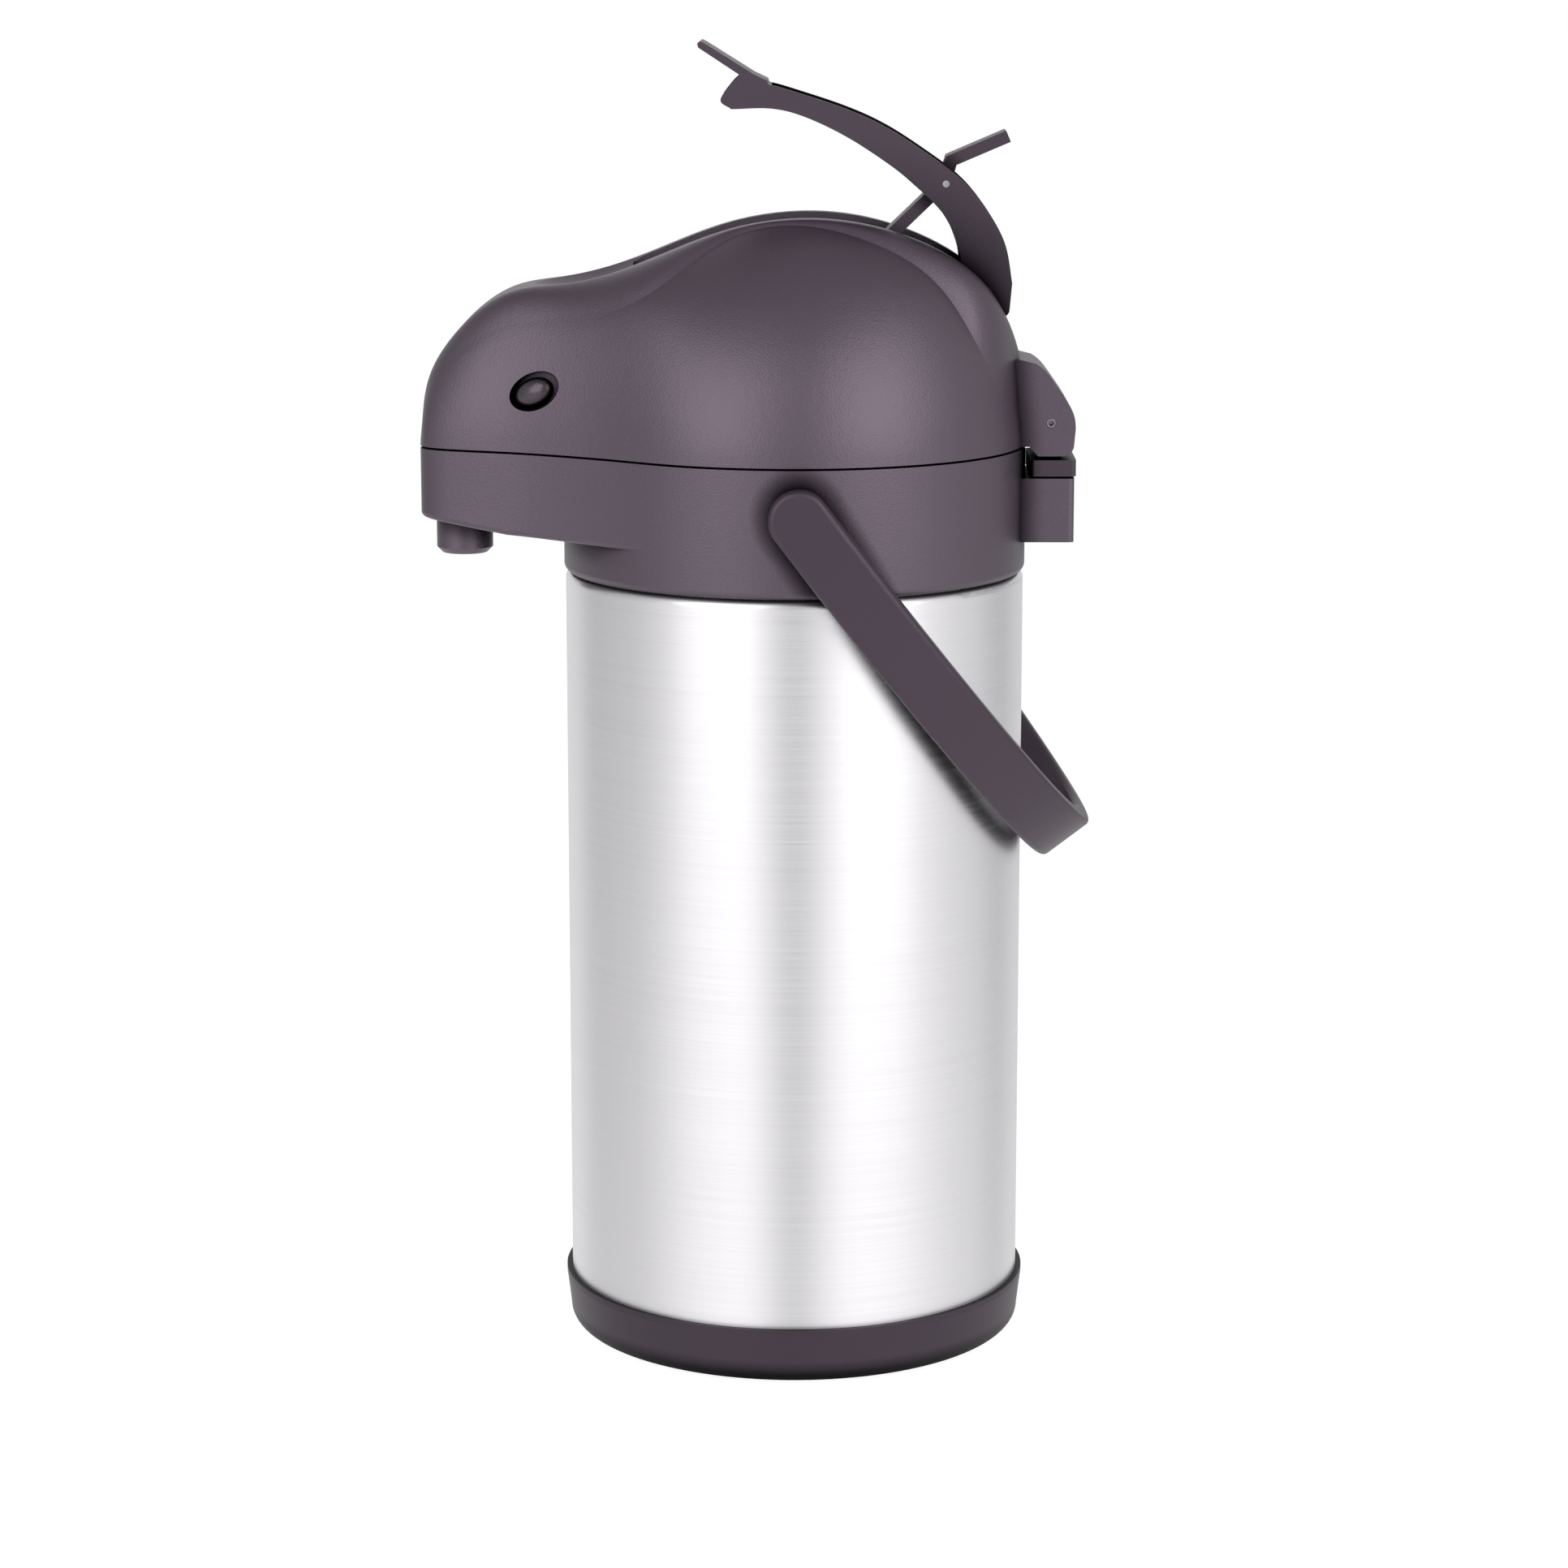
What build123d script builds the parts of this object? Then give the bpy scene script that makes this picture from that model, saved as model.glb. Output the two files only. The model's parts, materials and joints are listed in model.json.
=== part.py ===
from build123d import *
import math
import os

os.makedirs("parts", exist_ok=True)

# Lever-top airpot, millimetres. The origin is under the middle of the base, +Z is up,
# the spout points to -X, the hinge is at +X and the two sides mirror in Y.

# Driving dimensions
shell_radius = 81.5
collar_radius = 82.0
base_height = 20.8
collar_bottom = 278.5
seam_height = 323.3
seam_gap = 0.8
collar_top = seam_height - seam_gap / 2
lid_bottom = seam_height + seam_gap / 2
wall = 2.8

# Sheet steel of the double-walled flask
shell_sheet = 0.8
liner_sheet = 0.7
liner_radius = 68.5
liner_bottom = 22.0
liner_shoulder = 246.0
neck_radius = 45.0
neck_top = 308.0

# Spout
beak_tip = -131.6
nozzle_x = -117.5
pipe_height = 313.5
pipe_radius = 6.5

# Hinge at the back
hinge_x = 90.0
hinge_z = 332.0
hinge_pin_radius = 1.7
hinge_width = 38.0
knuckle_width = 25.0
running_gap = 0.4

# Bail handle
bail_x = 2.0
bail_z = 307.0
bail_droop = 52.6
bail_width = 21.0
bail_thickness = 8.0
bail_reach = 159.0
bail_half_span = 93.5
bail_pin_radius = 4.0

# Pump lever
lever_pivot_x = 66.5
lever_pivot_z = 377.6
lever_half_width = 16.5
channel_half_width = 18.2
channel_wall = 2.5
link_x = 52.7
link_z = 415.0
link_pin_radius = 1.2
lever_pin_radius = 2.5
prong_tip = (21.4, 385.0)
plunger_top = 382.3

# Bellows
bellows_radius = 36.0
bellows_bottom = 327.2
bellows_top = 365.0
bellows_ribs = 5


# Plan of the seam between collar and lid: a round back that flows into a narrow beak.
# Each pair is a distance along X and the half width there.
nose_plan = [(-66.0, 53.4), (-84.0, 42.3), (-99.0, 34.8), (-112.0, 30.0), (-121.0, 26.2), (-127.0, 22.6),
             (-130.2, 19.0), (-131.5, 15.0)]
dome_start = -50.0


def round_half_width(x):
    """Half width of the round part of the plan at x."""
    return math.sqrt(collar_radius**2 - x**2)


def nose_points(inset=0.0):
    """One side of the nose from the round part to the front, moved in by the inset."""
    start = (dome_start, round_half_width(dome_start))
    path = [start] + nose_plan + [(nose_plan[-1][0], 0)]
    moved = [(start[0] * (1 - inset / collar_radius), start[1] * (1 - inset / collar_radius))]
    for before, here, after in zip(path, path[1:], path[2:]):
        length = math.dist(before, after)
        x = here[0] + inset * (before[1] - after[1]) / length
        y = here[1] + inset * (after[0] - before[0]) / length
        moved.append((x, y))
    return moved


def seam_outline(inset=0.0):
    """Plan of the seam, drawn in from its edge by the inset."""
    side = nose_points(inset)
    other = [(x, -y) for x, y in side]
    heading = (-side[0][1], side[0][0])
    with BuildSketch() as outline:
        with BuildLine():
            ThreePointArc(other[0], (collar_radius - inset, 0), side[0])
            Spline(side, tangents=(heading, (-0.1, -1)))
            Line(side[-1], other[-1])
            Spline(other, tangents=((heading[0], -heading[1]), (-0.1, 1)))
        make_face()
    return outline.sketch


def beak_outline():
    """Plan of the beak alone, closed well inside the round collar."""
    side = nose_points()
    other = [(x, -y) for x, y in side]
    heading = (-side[0][1], side[0][0])
    with BuildSketch() as outline:
        with BuildLine():
            Spline(side, tangents=(heading, (-0.1, -1)))
            Line(side[-1], other[-1])
            Spline(other, tangents=((heading[0], -heading[1]), (-0.1, 1)))
            Polyline(other[0], (-35, -50), (-35, 50), side[0])
        make_face()
    return outline.sketch


# Lid sections across X: the height of the top at each place along the lid
nose_tops = [383.8, 380.2, 377.6, 369.8, 360.3, 351.0, 341.0, 329.0]
dome_tops = [(-45.0, 391.4), (-22.0, 399.8), (5.0, 403.4), (30.0, 400.2), (52.0, 391.6), (67.0, 380.0),
             (75.5, 366.0), (80.0, 351.0), (81.7, 335.0)]
lid_stations = [(x, y, top) for (x, y), top in zip(nose_plan, nose_tops)][::-1]
lid_stations += [(x, round_half_width(x), top) for x, top in dome_tops]
lid_middle = -25.0
section_foot = seam_height - 6.0


def lid_section(x, half_width, top):
    """Half-dome section with a raised spine that fades out along the nose."""
    spine = min(max((x + 60) / 40, 0), 1)
    rear = min(max(x / 70, 0), 1)
    rise = top - seam_height
    flat = (0.42 * half_width) * (1 - spine) + min(24, 0.5 * half_width) * spine
    crease = flat + (3 + 14 * rear) * spine + (1 - spine) * 0.32 * half_width
    crease = min(crease, 0.86 * half_width)
    drop = (2.2 + 19 * rear**2 + 15 * rear**20) * spine + (1 - spine) * 0.2 * rise
    shoulder = top - min(drop, 0.6 * rise)
    swell = (half_width, seam_height + 0.5 * (shoulder - seam_height))
    tuck = (crease + 0.35 * (half_width - crease), shoulder - 0.1 * rise)
    flank = (crease - 0.35 * (crease - flat), shoulder + 0.75 * (top - shoulder))
    brow = (flat + 0.3 * (crease - flat), top)
    right = [(half_width, seam_height), swell, tuck, (crease, shoulder), flank, brow, (flat, top)]
    left = [(-y, z) for y, z in right]
    with BuildSketch() as section:
        with BuildLine():
            Line((-half_width, section_foot), (half_width, section_foot))
            Line((half_width, section_foot), right[0])
            Bezier(*right[0:4])
            Bezier(*right[3:7])
            Line(right[6], left[6])
            Bezier(*left[6:2:-1])
            Bezier(*left[3::-1])
            Line(left[0], (-half_width, section_foot))
        make_face()
    return section.sketch


def side_profile(points):
    """Closed outline in the XZ plane."""
    with BuildSketch(Plane.XZ) as profile:
        with BuildLine():
            Polyline(*points, close=True)
        make_face()
    return profile.sketch


# Rubber pad that the airpot stands on
pad_radius = 68.0
pad_thickness = 2.0
with BuildPart() as foot_pad:
    with BuildSketch():
        Circle(pad_radius)
    extrude(amount=pad_thickness)
    chamfer(foot_pad.edges().group_by(Axis.Z)[0], 0.5)
foot_pad.part.label = "foot_pad"
export_step(foot_pad.part, "parts/foot_pad.step")

# Base ring: a flared lip round the foot of the shell and a rounded skirt below it
lip_radius = 83.5
skirt_radius = 82.0
seat_height = 9.0
with BuildPart() as base_ring:
    with BuildSketch(Plane.XZ):
        with BuildLine():
            Line((60, pad_thickness), (69, pad_thickness))
            Line((69, pad_thickness), (69, 0.6))
            Line((69, 0.6), (76.5, 0.6))
            TangentArc((76.5, 0.6), (skirt_radius, 6.5), tangent=(1, 0.05))
            Line((skirt_radius, 6.5), (lip_radius, 18.8))
            Line((lip_radius, 18.8), (lip_radius, base_height))
            Line((lip_radius, base_height), (shell_radius + 0.05, base_height))
            Line((shell_radius + 0.05, base_height), (shell_radius + 0.05, seat_height))
            Line((shell_radius + 0.05, seat_height), (76, seat_height))
            Line((76, seat_height), (76, 5))
            Line((76, 5), (60, 5))
            Line((60, 5), (60, pad_thickness))
        make_face()
    revolve(axis=Axis.Z)
base_ring.part.label = "base_ring"
export_step(base_ring.part, "parts/base_ring.step")

# Cover that closes the middle of the base, above the pad
with BuildPart() as base_cover:
    with BuildSketch(Plane.XY.offset(pad_thickness)):
        Circle(59.8)
    extrude(amount=3)
    with BuildSketch(Plane.XY.offset(pad_thickness + 3)):
        Circle(12)
        with PolarLocations(40, 6):
            Rectangle(44, 1.6)
    extrude(amount=5)
base_cover.part.label = "base_cover"
export_step(base_cover.part, "parts/base_cover.step")

# Outer shell: brushed steel tube with its ends rolled in
shell_floor = 12.0
shell_top = collar_bottom - 0.3
shoulder_round = 2.6
flange_radius = 78.5
with BuildPart() as outer_shell:
    with BuildSketch(Plane.XZ):
        with BuildLine():
            Polyline(
                (flange_radius, seat_height), (shell_radius, seat_height), (shell_radius, shell_top),
                (flange_radius, shell_top), (flange_radius, shell_top - shell_sheet),
                (shell_radius - shell_sheet, shell_top - shell_sheet),
                (shell_radius - shell_sheet, seat_height + shell_sheet),
                (flange_radius, seat_height + shell_sheet), close=True)
        make_face()
    revolve(axis=Axis.Z)
    rim = outer_shell.edges().filter_by(GeomType.CIRCLE).filter_by_position(Axis.Z, 200, 300)
    outer_top = [e for e in rim if e.radius > shell_radius - 0.1]
    fillet(outer_top, shoulder_round)
outer_shell.part.label = "outer_shell"
export_step(outer_shell.part, "parts/outer_shell.step")

# Shell bottom: a shallow pan welded into the foot of the tube
with BuildPart() as shell_bottom:
    with BuildSketch(Plane.XZ):
        with BuildLine():
            Polyline(
                (0, shell_floor), (74, shell_floor), (77, seat_height), (flange_radius, seat_height),
                (flange_radius, seat_height + shell_sheet), (77.3, seat_height + shell_sheet),
                (74.3, shell_floor + shell_sheet), (0, shell_floor + shell_sheet), close=True)
        make_face()
    revolve(axis=Axis.Z)
shell_bottom.part.label = "shell_bottom"
export_step(shell_bottom.part, "parts/shell_bottom.step")

# Shell shoulder: closes the top of the tube and rises round the neck
neck_outside = 49.0
with BuildPart() as shell_shoulder:
    with BuildSketch(Plane.XZ):
        with BuildLine():
            Polyline(
                (flange_radius, shell_top), (60, shell_top), (50, 288), (neck_outside, neck_top - 1),
                (neck_outside - shell_sheet, neck_top - 1), (49.2 - shell_sheet, 287.6),
                (59.6, shell_top - shell_sheet), (flange_radius, shell_top - shell_sheet), close=True)
        make_face()
    revolve(axis=Axis.Z)
shell_shoulder.part.label = "shell_shoulder"
export_step(shell_shoulder.part, "parts/shell_shoulder.step")

# Inner liner: the steel bottle inside the shell
bottle_round = 12.0
with BuildPart() as inner_liner:
    with BuildSketch(Plane.XZ):
        with BuildLine():
            Line((0, liner_bottom), (liner_radius - bottle_round, liner_bottom))
            TangentArc(
                (liner_radius - bottle_round, liner_bottom), (liner_radius, liner_bottom + bottle_round),
                tangent=(1, 0))
            Line((liner_radius, liner_bottom + bottle_round), (liner_radius, liner_shoulder))
            Line((liner_radius, liner_shoulder), (liner_radius - liner_sheet, liner_shoulder))
            Line((liner_radius - liner_sheet, liner_shoulder),
                 (liner_radius - liner_sheet, liner_bottom + bottle_round))
            TangentArc(
                (liner_radius - bottle_round, liner_bottom + liner_sheet),
                (liner_radius - liner_sheet, liner_bottom + bottle_round), tangent=(1, 0))
            Line((liner_radius - bottle_round, liner_bottom + liner_sheet), (0, liner_bottom + liner_sheet))
            Line((0, liner_bottom + liner_sheet), (0, liner_bottom))
        make_face()
    revolve(axis=Axis.Z)
inner_liner.part.label = "inner_liner"
export_step(inner_liner.part, "parts/inner_liner.step")

# Liner neck: the shoulder of the bottle, its neck and the rolled mouth
neck_foot = 276.0
dome_top = (neck_radius + 3, 272)
with BuildPart() as liner_neck:
    with BuildSketch(Plane.XZ):
        with BuildLine():
            TangentArc((liner_radius, liner_shoulder), dome_top, tangent=(0, 1))
            Line(dome_top, (neck_radius, neck_foot))
            Line((neck_radius, neck_foot), (neck_radius, neck_top - liner_sheet))
            Line((neck_radius, neck_top - liner_sheet), (neck_outside, neck_top - liner_sheet))
            Line((neck_outside, neck_top - liner_sheet), (neck_outside, neck_top))
            Line((neck_outside, neck_top), (neck_radius - liner_sheet, neck_top))
            Line((neck_radius - liner_sheet, neck_top), (neck_radius - liner_sheet, neck_foot - 0.3))
            Line((neck_radius - liner_sheet, neck_foot - 0.3), (dome_top[0] - 0.7, dome_top[1] - 0.3))
            TangentArc(
                (liner_radius - liner_sheet, liner_shoulder), (dome_top[0] - 0.7, dome_top[1] - 0.3),
                tangent=(0, 1))
            Line((liner_radius - liner_sheet, liner_shoulder), (liner_radius, liner_shoulder))
        make_face()
    revolve(axis=Axis.Z)
liner_neck.part.label = "liner_neck"
export_step(liner_neck.part, "parts/liner_neck.step")

# Collar: round skirt over the shoulder, with the lower half of the beak in front
deck_top = 306.0
deck_thickness = 3.0
deck_bottom = deck_top - deck_thickness
ledge = 3.0
beak_start = -60.0
beak_floor = [(-140, 299.2), (-131, 298.7), (-100, 294.3), (-62, 292.6)]
tray_floor = [(x, z + wall) for x, z in beak_floor]
socket_back = 98.5
socket_bottom = 290.0
socket_top = 312.5
tongue_width = 26.0

with BuildPart() as tray:
    with BuildSketch(Plane.XY.offset(deck_top - 20)):
        add(seam_outline(wall))
    extrude(amount=60)
    with BuildSketch(Plane.XZ):
        add(side_profile([(-140, 340)] + tray_floor + [(-62, deck_bottom), (90, deck_bottom), (90, 340)]))
    extrude(amount=90, both=True, mode=Mode.INTERSECT)

with BuildPart() as collar_hollow:
    with BuildSketch(Plane.XY.offset(collar_bottom - 1)):
        Circle(collar_radius - wall)
    extrude(amount=deck_bottom - ledge - collar_bottom + 1)
    with BuildSketch(Plane.XY.offset(deck_bottom - ledge)):
        Circle(collar_radius - wall - ledge)
    extrude(amount=ledge)
    with BuildSketch(Plane.XY.offset(290)):
        with Locations((beak_start - 35, 0)):
            Rectangle(70, 120)
    extrude(amount=30, mode=Mode.SUBTRACT)

with BuildPart() as beak:
    with BuildSketch(Plane.XY.offset(290)):
        add(beak_outline())
    extrude(amount=collar_top - 290)
    with BuildSketch(Plane.XZ):
        add(side_profile([(-140, 280)] + beak_floor + [(-30, 291.5), (-30, 280)]))
    extrude(amount=90, both=True, mode=Mode.SUBTRACT)
    lower_edges = beak.edges().filter_by_position(Axis.Z, 290, 300).filter_by_position(Axis.X, -140, -55)
    fillet(lower_edges, 2.0)

with BuildPart() as collar:
    with BuildSketch(Plane.XY.offset(collar_bottom)):
        Circle(collar_radius)
    extrude(amount=collar_top - collar_bottom)
    fillet(collar.edges().group_by(Axis.Z)[0], 2.6)
    with BuildSketch(Plane.XY.offset(socket_bottom)):
        with Locations(((66 + socket_back) / 2, 0)):
            RectangleRounded(socket_back - 66, hinge_width, 2)
    extrude(amount=socket_top - socket_bottom)
    add(beak.part)
    add(collar_hollow.part, mode=Mode.SUBTRACT)
    add(tray.part, mode=Mode.SUBTRACT)
    with BuildSketch(Plane.XY.offset(285)):
        with Locations((nozzle_x, 0)):
            Circle(8.6)
    extrude(amount=20, mode=Mode.SUBTRACT)
    with BuildSketch(Plane.XY.offset(298)):
        with Locations((90.6, 0)):
            Rectangle(9.2, tongue_width + 0.2)
    extrude(amount=20, mode=Mode.SUBTRACT)
    with BuildSketch(Plane.XZ):
        with Locations((hinge_x, hinge_z)):
            Circle(13.4)
    extrude(amount=hinge_width / 2 + 0.6, both=True, mode=Mode.SUBTRACT)
    for side in (-1, 1):
        with BuildSketch(Plane.XZ.offset(-side * 80)):
            with Locations((bail_x, bail_z)):
                Circle(9)
        extrude(amount=-side * (bail_half_span - bail_thickness - running_gap - 80))
        with BuildSketch(Plane.XZ.offset(-side * 72)):
            with Locations((bail_x, bail_z)):
                Circle(bail_pin_radius)
        extrude(amount=-side * 16, mode=Mode.SUBTRACT)
collar.part.label = "collar"
export_step(collar.part, "parts/collar.step")

# Deck inside the collar, with a short sleeve round the neck
sleeve_radius = 52.0
sleeve_bore = 50.3
sleeve_bottom = 295.0
with BuildPart() as collar_deck:
    with BuildSketch(Plane.XY.offset(deck_bottom)):
        Circle(collar_radius - wall)
        with Locations((-62 - 40, 0)):
            Rectangle(80, 160, mode=Mode.SUBTRACT)
    extrude(amount=deck_thickness)
    with BuildSketch(Plane.XY.offset(sleeve_bottom)):
        Circle(sleeve_radius)
    extrude(amount=deck_bottom - sleeve_bottom)
    with BuildSketch(Plane.XY.offset(sleeve_bottom)):
        Circle(sleeve_bore)
    extrude(amount=deck_top - sleeve_bottom, mode=Mode.SUBTRACT)
    for side in (-1, 1):
        with BuildSketch(Plane.XZ.offset(-side * 72)):
            with Locations((bail_x, bail_z)):
                Circle(bail_pin_radius)
        extrude(amount=-side * 16, mode=Mode.SUBTRACT)
collar_deck.part.label = "collar_deck"
export_step(collar_deck.part, "parts/collar_deck.step")

# Stub pins of the bail, pressed into the collar
bail_hole_depth = 5.0
with BuildPart() as bail_pins:
    for side in (-1, 1):
        with BuildSketch(Plane.XZ.offset(-side * 74)):
            with Locations((bail_x, bail_z)):
                Circle(bail_pin_radius)
        extrude(amount=-side * (bail_half_span - bail_thickness + bail_hole_depth - 0.5 - 74))
bail_pins.part.label = "bail_pins"
export_step(bail_pins.part, "parts/bail_pins.step")

# Bail: a flat strap bent to half an ellipse with round ends, hanging down behind
droop = math.radians(bail_droop)
bail_along = (math.cos(droop), 0, -math.sin(droop))
bail_plane = Plane(origin=(bail_x, 0, bail_z), x_dir=bail_along, z_dir=(math.sin(droop), 0, math.cos(droop)))
bail_side_plane = Plane(origin=(bail_x, 0, bail_z), x_dir=bail_along, z_dir=(0, -1, 0))
bail_inner_reach = bail_reach - bail_thickness
bail_inner_span = bail_half_span - bail_thickness
bail_half_width = bail_width / 2
bail_heel = -15.0
with BuildPart() as bail_handle:
    with BuildSketch(bail_plane):
        with BuildLine():
            Polyline((bail_heel, -bail_inner_span), (bail_heel, -bail_half_span), (0, -bail_half_span))
            EllipticalCenterArc((0, 0), bail_reach, bail_half_span, start_angle=-90, arc_size=180)
            Polyline((0, bail_half_span), (bail_heel, bail_half_span), (bail_heel, bail_inner_span),
                     (0, bail_inner_span))
            EllipticalCenterArc((0, 0), bail_inner_reach, bail_inner_span, start_angle=-90, arc_size=180)
            Line((0, -bail_inner_span), (bail_heel, -bail_inner_span))
        make_face()
    extrude(amount=bail_width, both=True)
    with BuildSketch(bail_side_plane):
        with BuildLine():
            Line((0, -bail_half_width), (bail_reach + 9, -bail_half_width))
            Line((bail_reach + 9, -bail_half_width), (bail_reach + 9, bail_half_width))
            Line((bail_reach + 9, bail_half_width), (0, bail_half_width))
            ThreePointArc((0, bail_half_width), (-bail_half_width, 0), (0, -bail_half_width))
        make_face()
    extrude(amount=bail_half_span + 9, both=True, mode=Mode.INTERSECT)
    rims = [e for e in bail_handle.edges() if e.length > 5]
    fillet(rims, 2.0)
    for side in (-1, 1):
        with BuildSketch(Plane.XZ.offset(-side * (bail_inner_span - 2))):
            with Locations((bail_x, bail_z)):
                Circle(bail_pin_radius + 0.06)
        extrude(amount=-side * (bail_hole_depth + 2), mode=Mode.SUBTRACT)
bail_handle.part.label = "bail_handle"
export_step(bail_handle.part, "parts/bail_handle.step")

# Hinge plate: clips into the socket and carries the fixed knuckle
plate_bottom = socket_top + 0.8
plate_top = hinge_z - 13
with BuildPart() as hinge_plate:
    with BuildSketch(Plane.XY.offset(plate_bottom)):
        with Locations((91, 0)):
            RectangleRounded(16, hinge_width, 1.5)
    extrude(amount=plate_top - plate_bottom)
    with BuildSketch(Plane.XY.offset(299)):
        with Locations((90.6, 0)):
            Rectangle(9, tongue_width)
    extrude(amount=plate_bottom - 299)
    with BuildSketch(Plane.XZ):
        with Locations((hinge_x, hinge_z)):
            Circle(6)
        with Locations((hinge_x, (hinge_z + plate_top) / 2)):
            Rectangle(8, hinge_z - plate_top)
        with Locations((hinge_x, hinge_z)):
            Circle(hinge_pin_radius, mode=Mode.SUBTRACT)
    extrude(amount=knuckle_width / 2, both=True)
hinge_plate.part.label = "hinge_plate"
export_step(hinge_plate.part, "parts/hinge_plate.step")

with BuildPart() as hinge_pin:
    with BuildSketch(Plane.XZ):
        with Locations((hinge_x, hinge_z)):
            Circle(hinge_pin_radius)
    extrude(amount=hinge_width / 2, both=True)
hinge_pin.part.label = "hinge_pin"
export_step(hinge_pin.part, "parts/hinge_pin.step")

# Tube holder: thick plug on the mouth that turns the rising liquid towards the spout
holder_top = 320.0
tube_x = -22.0
tube_radius = 5.0
spigot_radius = 3.9
spigot_end = -58.0
holder_radius = 47.5
fill_x = 12.0
fill_radius = 19.0
with BuildPart() as tube_holder:
    with BuildSketch(Plane.XY.offset(neck_top)):
        Circle(holder_radius)
    extrude(amount=holder_top - neck_top)
    with BuildSketch(Plane.XY.offset(neck_top)):
        Circle(neck_radius - 1.2)
        Circle(neck_radius - 4, mode=Mode.SUBTRACT)
    extrude(amount=-6)
    with BuildSketch(Plane.XY.offset(neck_top)):
        with Locations((tube_x, 0)):
            Circle(8)
    extrude(amount=-12)
    with BuildSketch(Plane.YZ.offset(-46)):
        with Locations((0, pipe_height)):
            Circle(spigot_radius)
    extrude(amount=spigot_end + 46)
    with BuildSketch(Plane.YZ.offset(spigot_end - 1)):
        with Locations((0, pipe_height)):
            Circle(2.6)
    extrude(amount=tube_x - spigot_end + 1, mode=Mode.SUBTRACT)
    with BuildSketch(Plane.XY.offset(neck_top - 13)):
        with Locations((tube_x, 0)):
            Circle(tube_radius)
    extrude(amount=12, mode=Mode.SUBTRACT)
    with BuildSketch(Plane.XY.offset(neck_top - 2)):
        with Locations((tube_x, 0)):
            Circle(2.6)
    extrude(amount=pipe_height - neck_top + 2, mode=Mode.SUBTRACT)
    with BuildSketch(Plane.XY.offset(neck_top - 1)):
        with Locations((fill_x, 0)):
            Circle(fill_radius)
    extrude(amount=30, mode=Mode.SUBTRACT)
tube_holder.part.label = "tube_holder"
export_step(tube_holder.part, "parts/tube_holder.step")

# Siphon tube, from just above the liner's floor up into the holder
with BuildPart() as siphon_tube:
    with BuildSketch(Plane.XY.offset(liner_bottom + 8)):
        with Locations((tube_x, 0)):
            Circle(tube_radius)
            Circle(tube_radius - 1, mode=Mode.SUBTRACT)
    extrude(amount=neck_top - 1 - liner_bottom - 8)
siphon_tube.part.label = "siphon_tube"
export_step(siphon_tube.part, "parts/siphon_tube.step")

# Spout pipe: along the beak, then down into the nozzle
pipe_bend = 9.0
pipe_end = 295.0
with BuildPart() as spout_pipe:
    with BuildLine():
        FilletPolyline(
            (-49, 0, pipe_height), (nozzle_x, 0, pipe_height), (nozzle_x, 0, pipe_end), radius=pipe_bend)
    with BuildSketch(Plane(origin=(-49, 0, pipe_height), z_dir=(-1, 0, 0))):
        Circle(pipe_radius)
        Circle(spigot_radius + 0.02, mode=Mode.SUBTRACT)
    sweep()
spout_pipe.part.label = "spout_pipe"
export_step(spout_pipe.part, "parts/spout_pipe.step")

# Nozzle under the tip of the beak
nozzle_radius = 10.0
nozzle_bottom = 284.0
nozzle_top = 297.5
with BuildPart() as nozzle:
    with BuildSketch(Plane.XY.offset(nozzle_bottom)):
        with Locations((nozzle_x, 0)):
            Circle(nozzle_radius)
    extrude(amount=nozzle_top - nozzle_bottom)
    chamfer(nozzle.edges().group_by(Axis.Z)[0], 2)
    with BuildSketch(Plane.XZ):
        add(side_profile([(-140, 320)] + beak_floor[:3] + [(-100, 320)]))
    extrude(amount=20, both=True, mode=Mode.SUBTRACT)
    with BuildSketch(Plane.XY.offset(nozzle_bottom + 4)):
        with Locations((nozzle_x, 0)):
            Circle(8.5)
    extrude(amount=nozzle_top + 6.5 - nozzle_bottom - 4)
    with BuildSketch(Plane.XY.offset(pipe_end)):
        with Locations((nozzle_x, 0)):
            Circle(pipe_radius + 0.02)
    extrude(amount=20, mode=Mode.SUBTRACT)
    with BuildSketch(Plane.XY.offset(nozzle_bottom - 1)):
        with Locations((nozzle_x, 0)):
            Circle(5.5)
    extrude(amount=20, mode=Mode.SUBTRACT)
nozzle.part.label = "nozzle"
export_step(nozzle.part, "parts/nozzle.step")

# Lid shell
channel_front = -57.5
channel_floor = [(channel_front, 379), (-52, 375.5), (-40, 375.5), (-33, 381), (-24, 387), (-10, 390.5),
                 (10, 392), (27, 391), (40, 387.5), (48, 380.5), (52, 373), (56, 367.5), (95, 366.5)]
scoop_centre = (-78, 0, 427.3)
scoop_radius = 50.0
button_x = -90.0
button_y = 37.5
button_z = 345.0
button_tilt = 20.0
button_sides = {"left": -1, "right": 1}
button_slope = math.radians(26.6)


def button_plane(side):
    """Plane on the side of the nose, facing out, with its x axis towards the hinge."""
    return Plane(
        origin=(button_x, side * button_y, button_z),
        x_dir=(math.cos(button_slope), side * math.sin(button_slope), 0),
        z_dir=(-math.sin(button_slope), side * math.cos(button_slope), 0))


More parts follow.
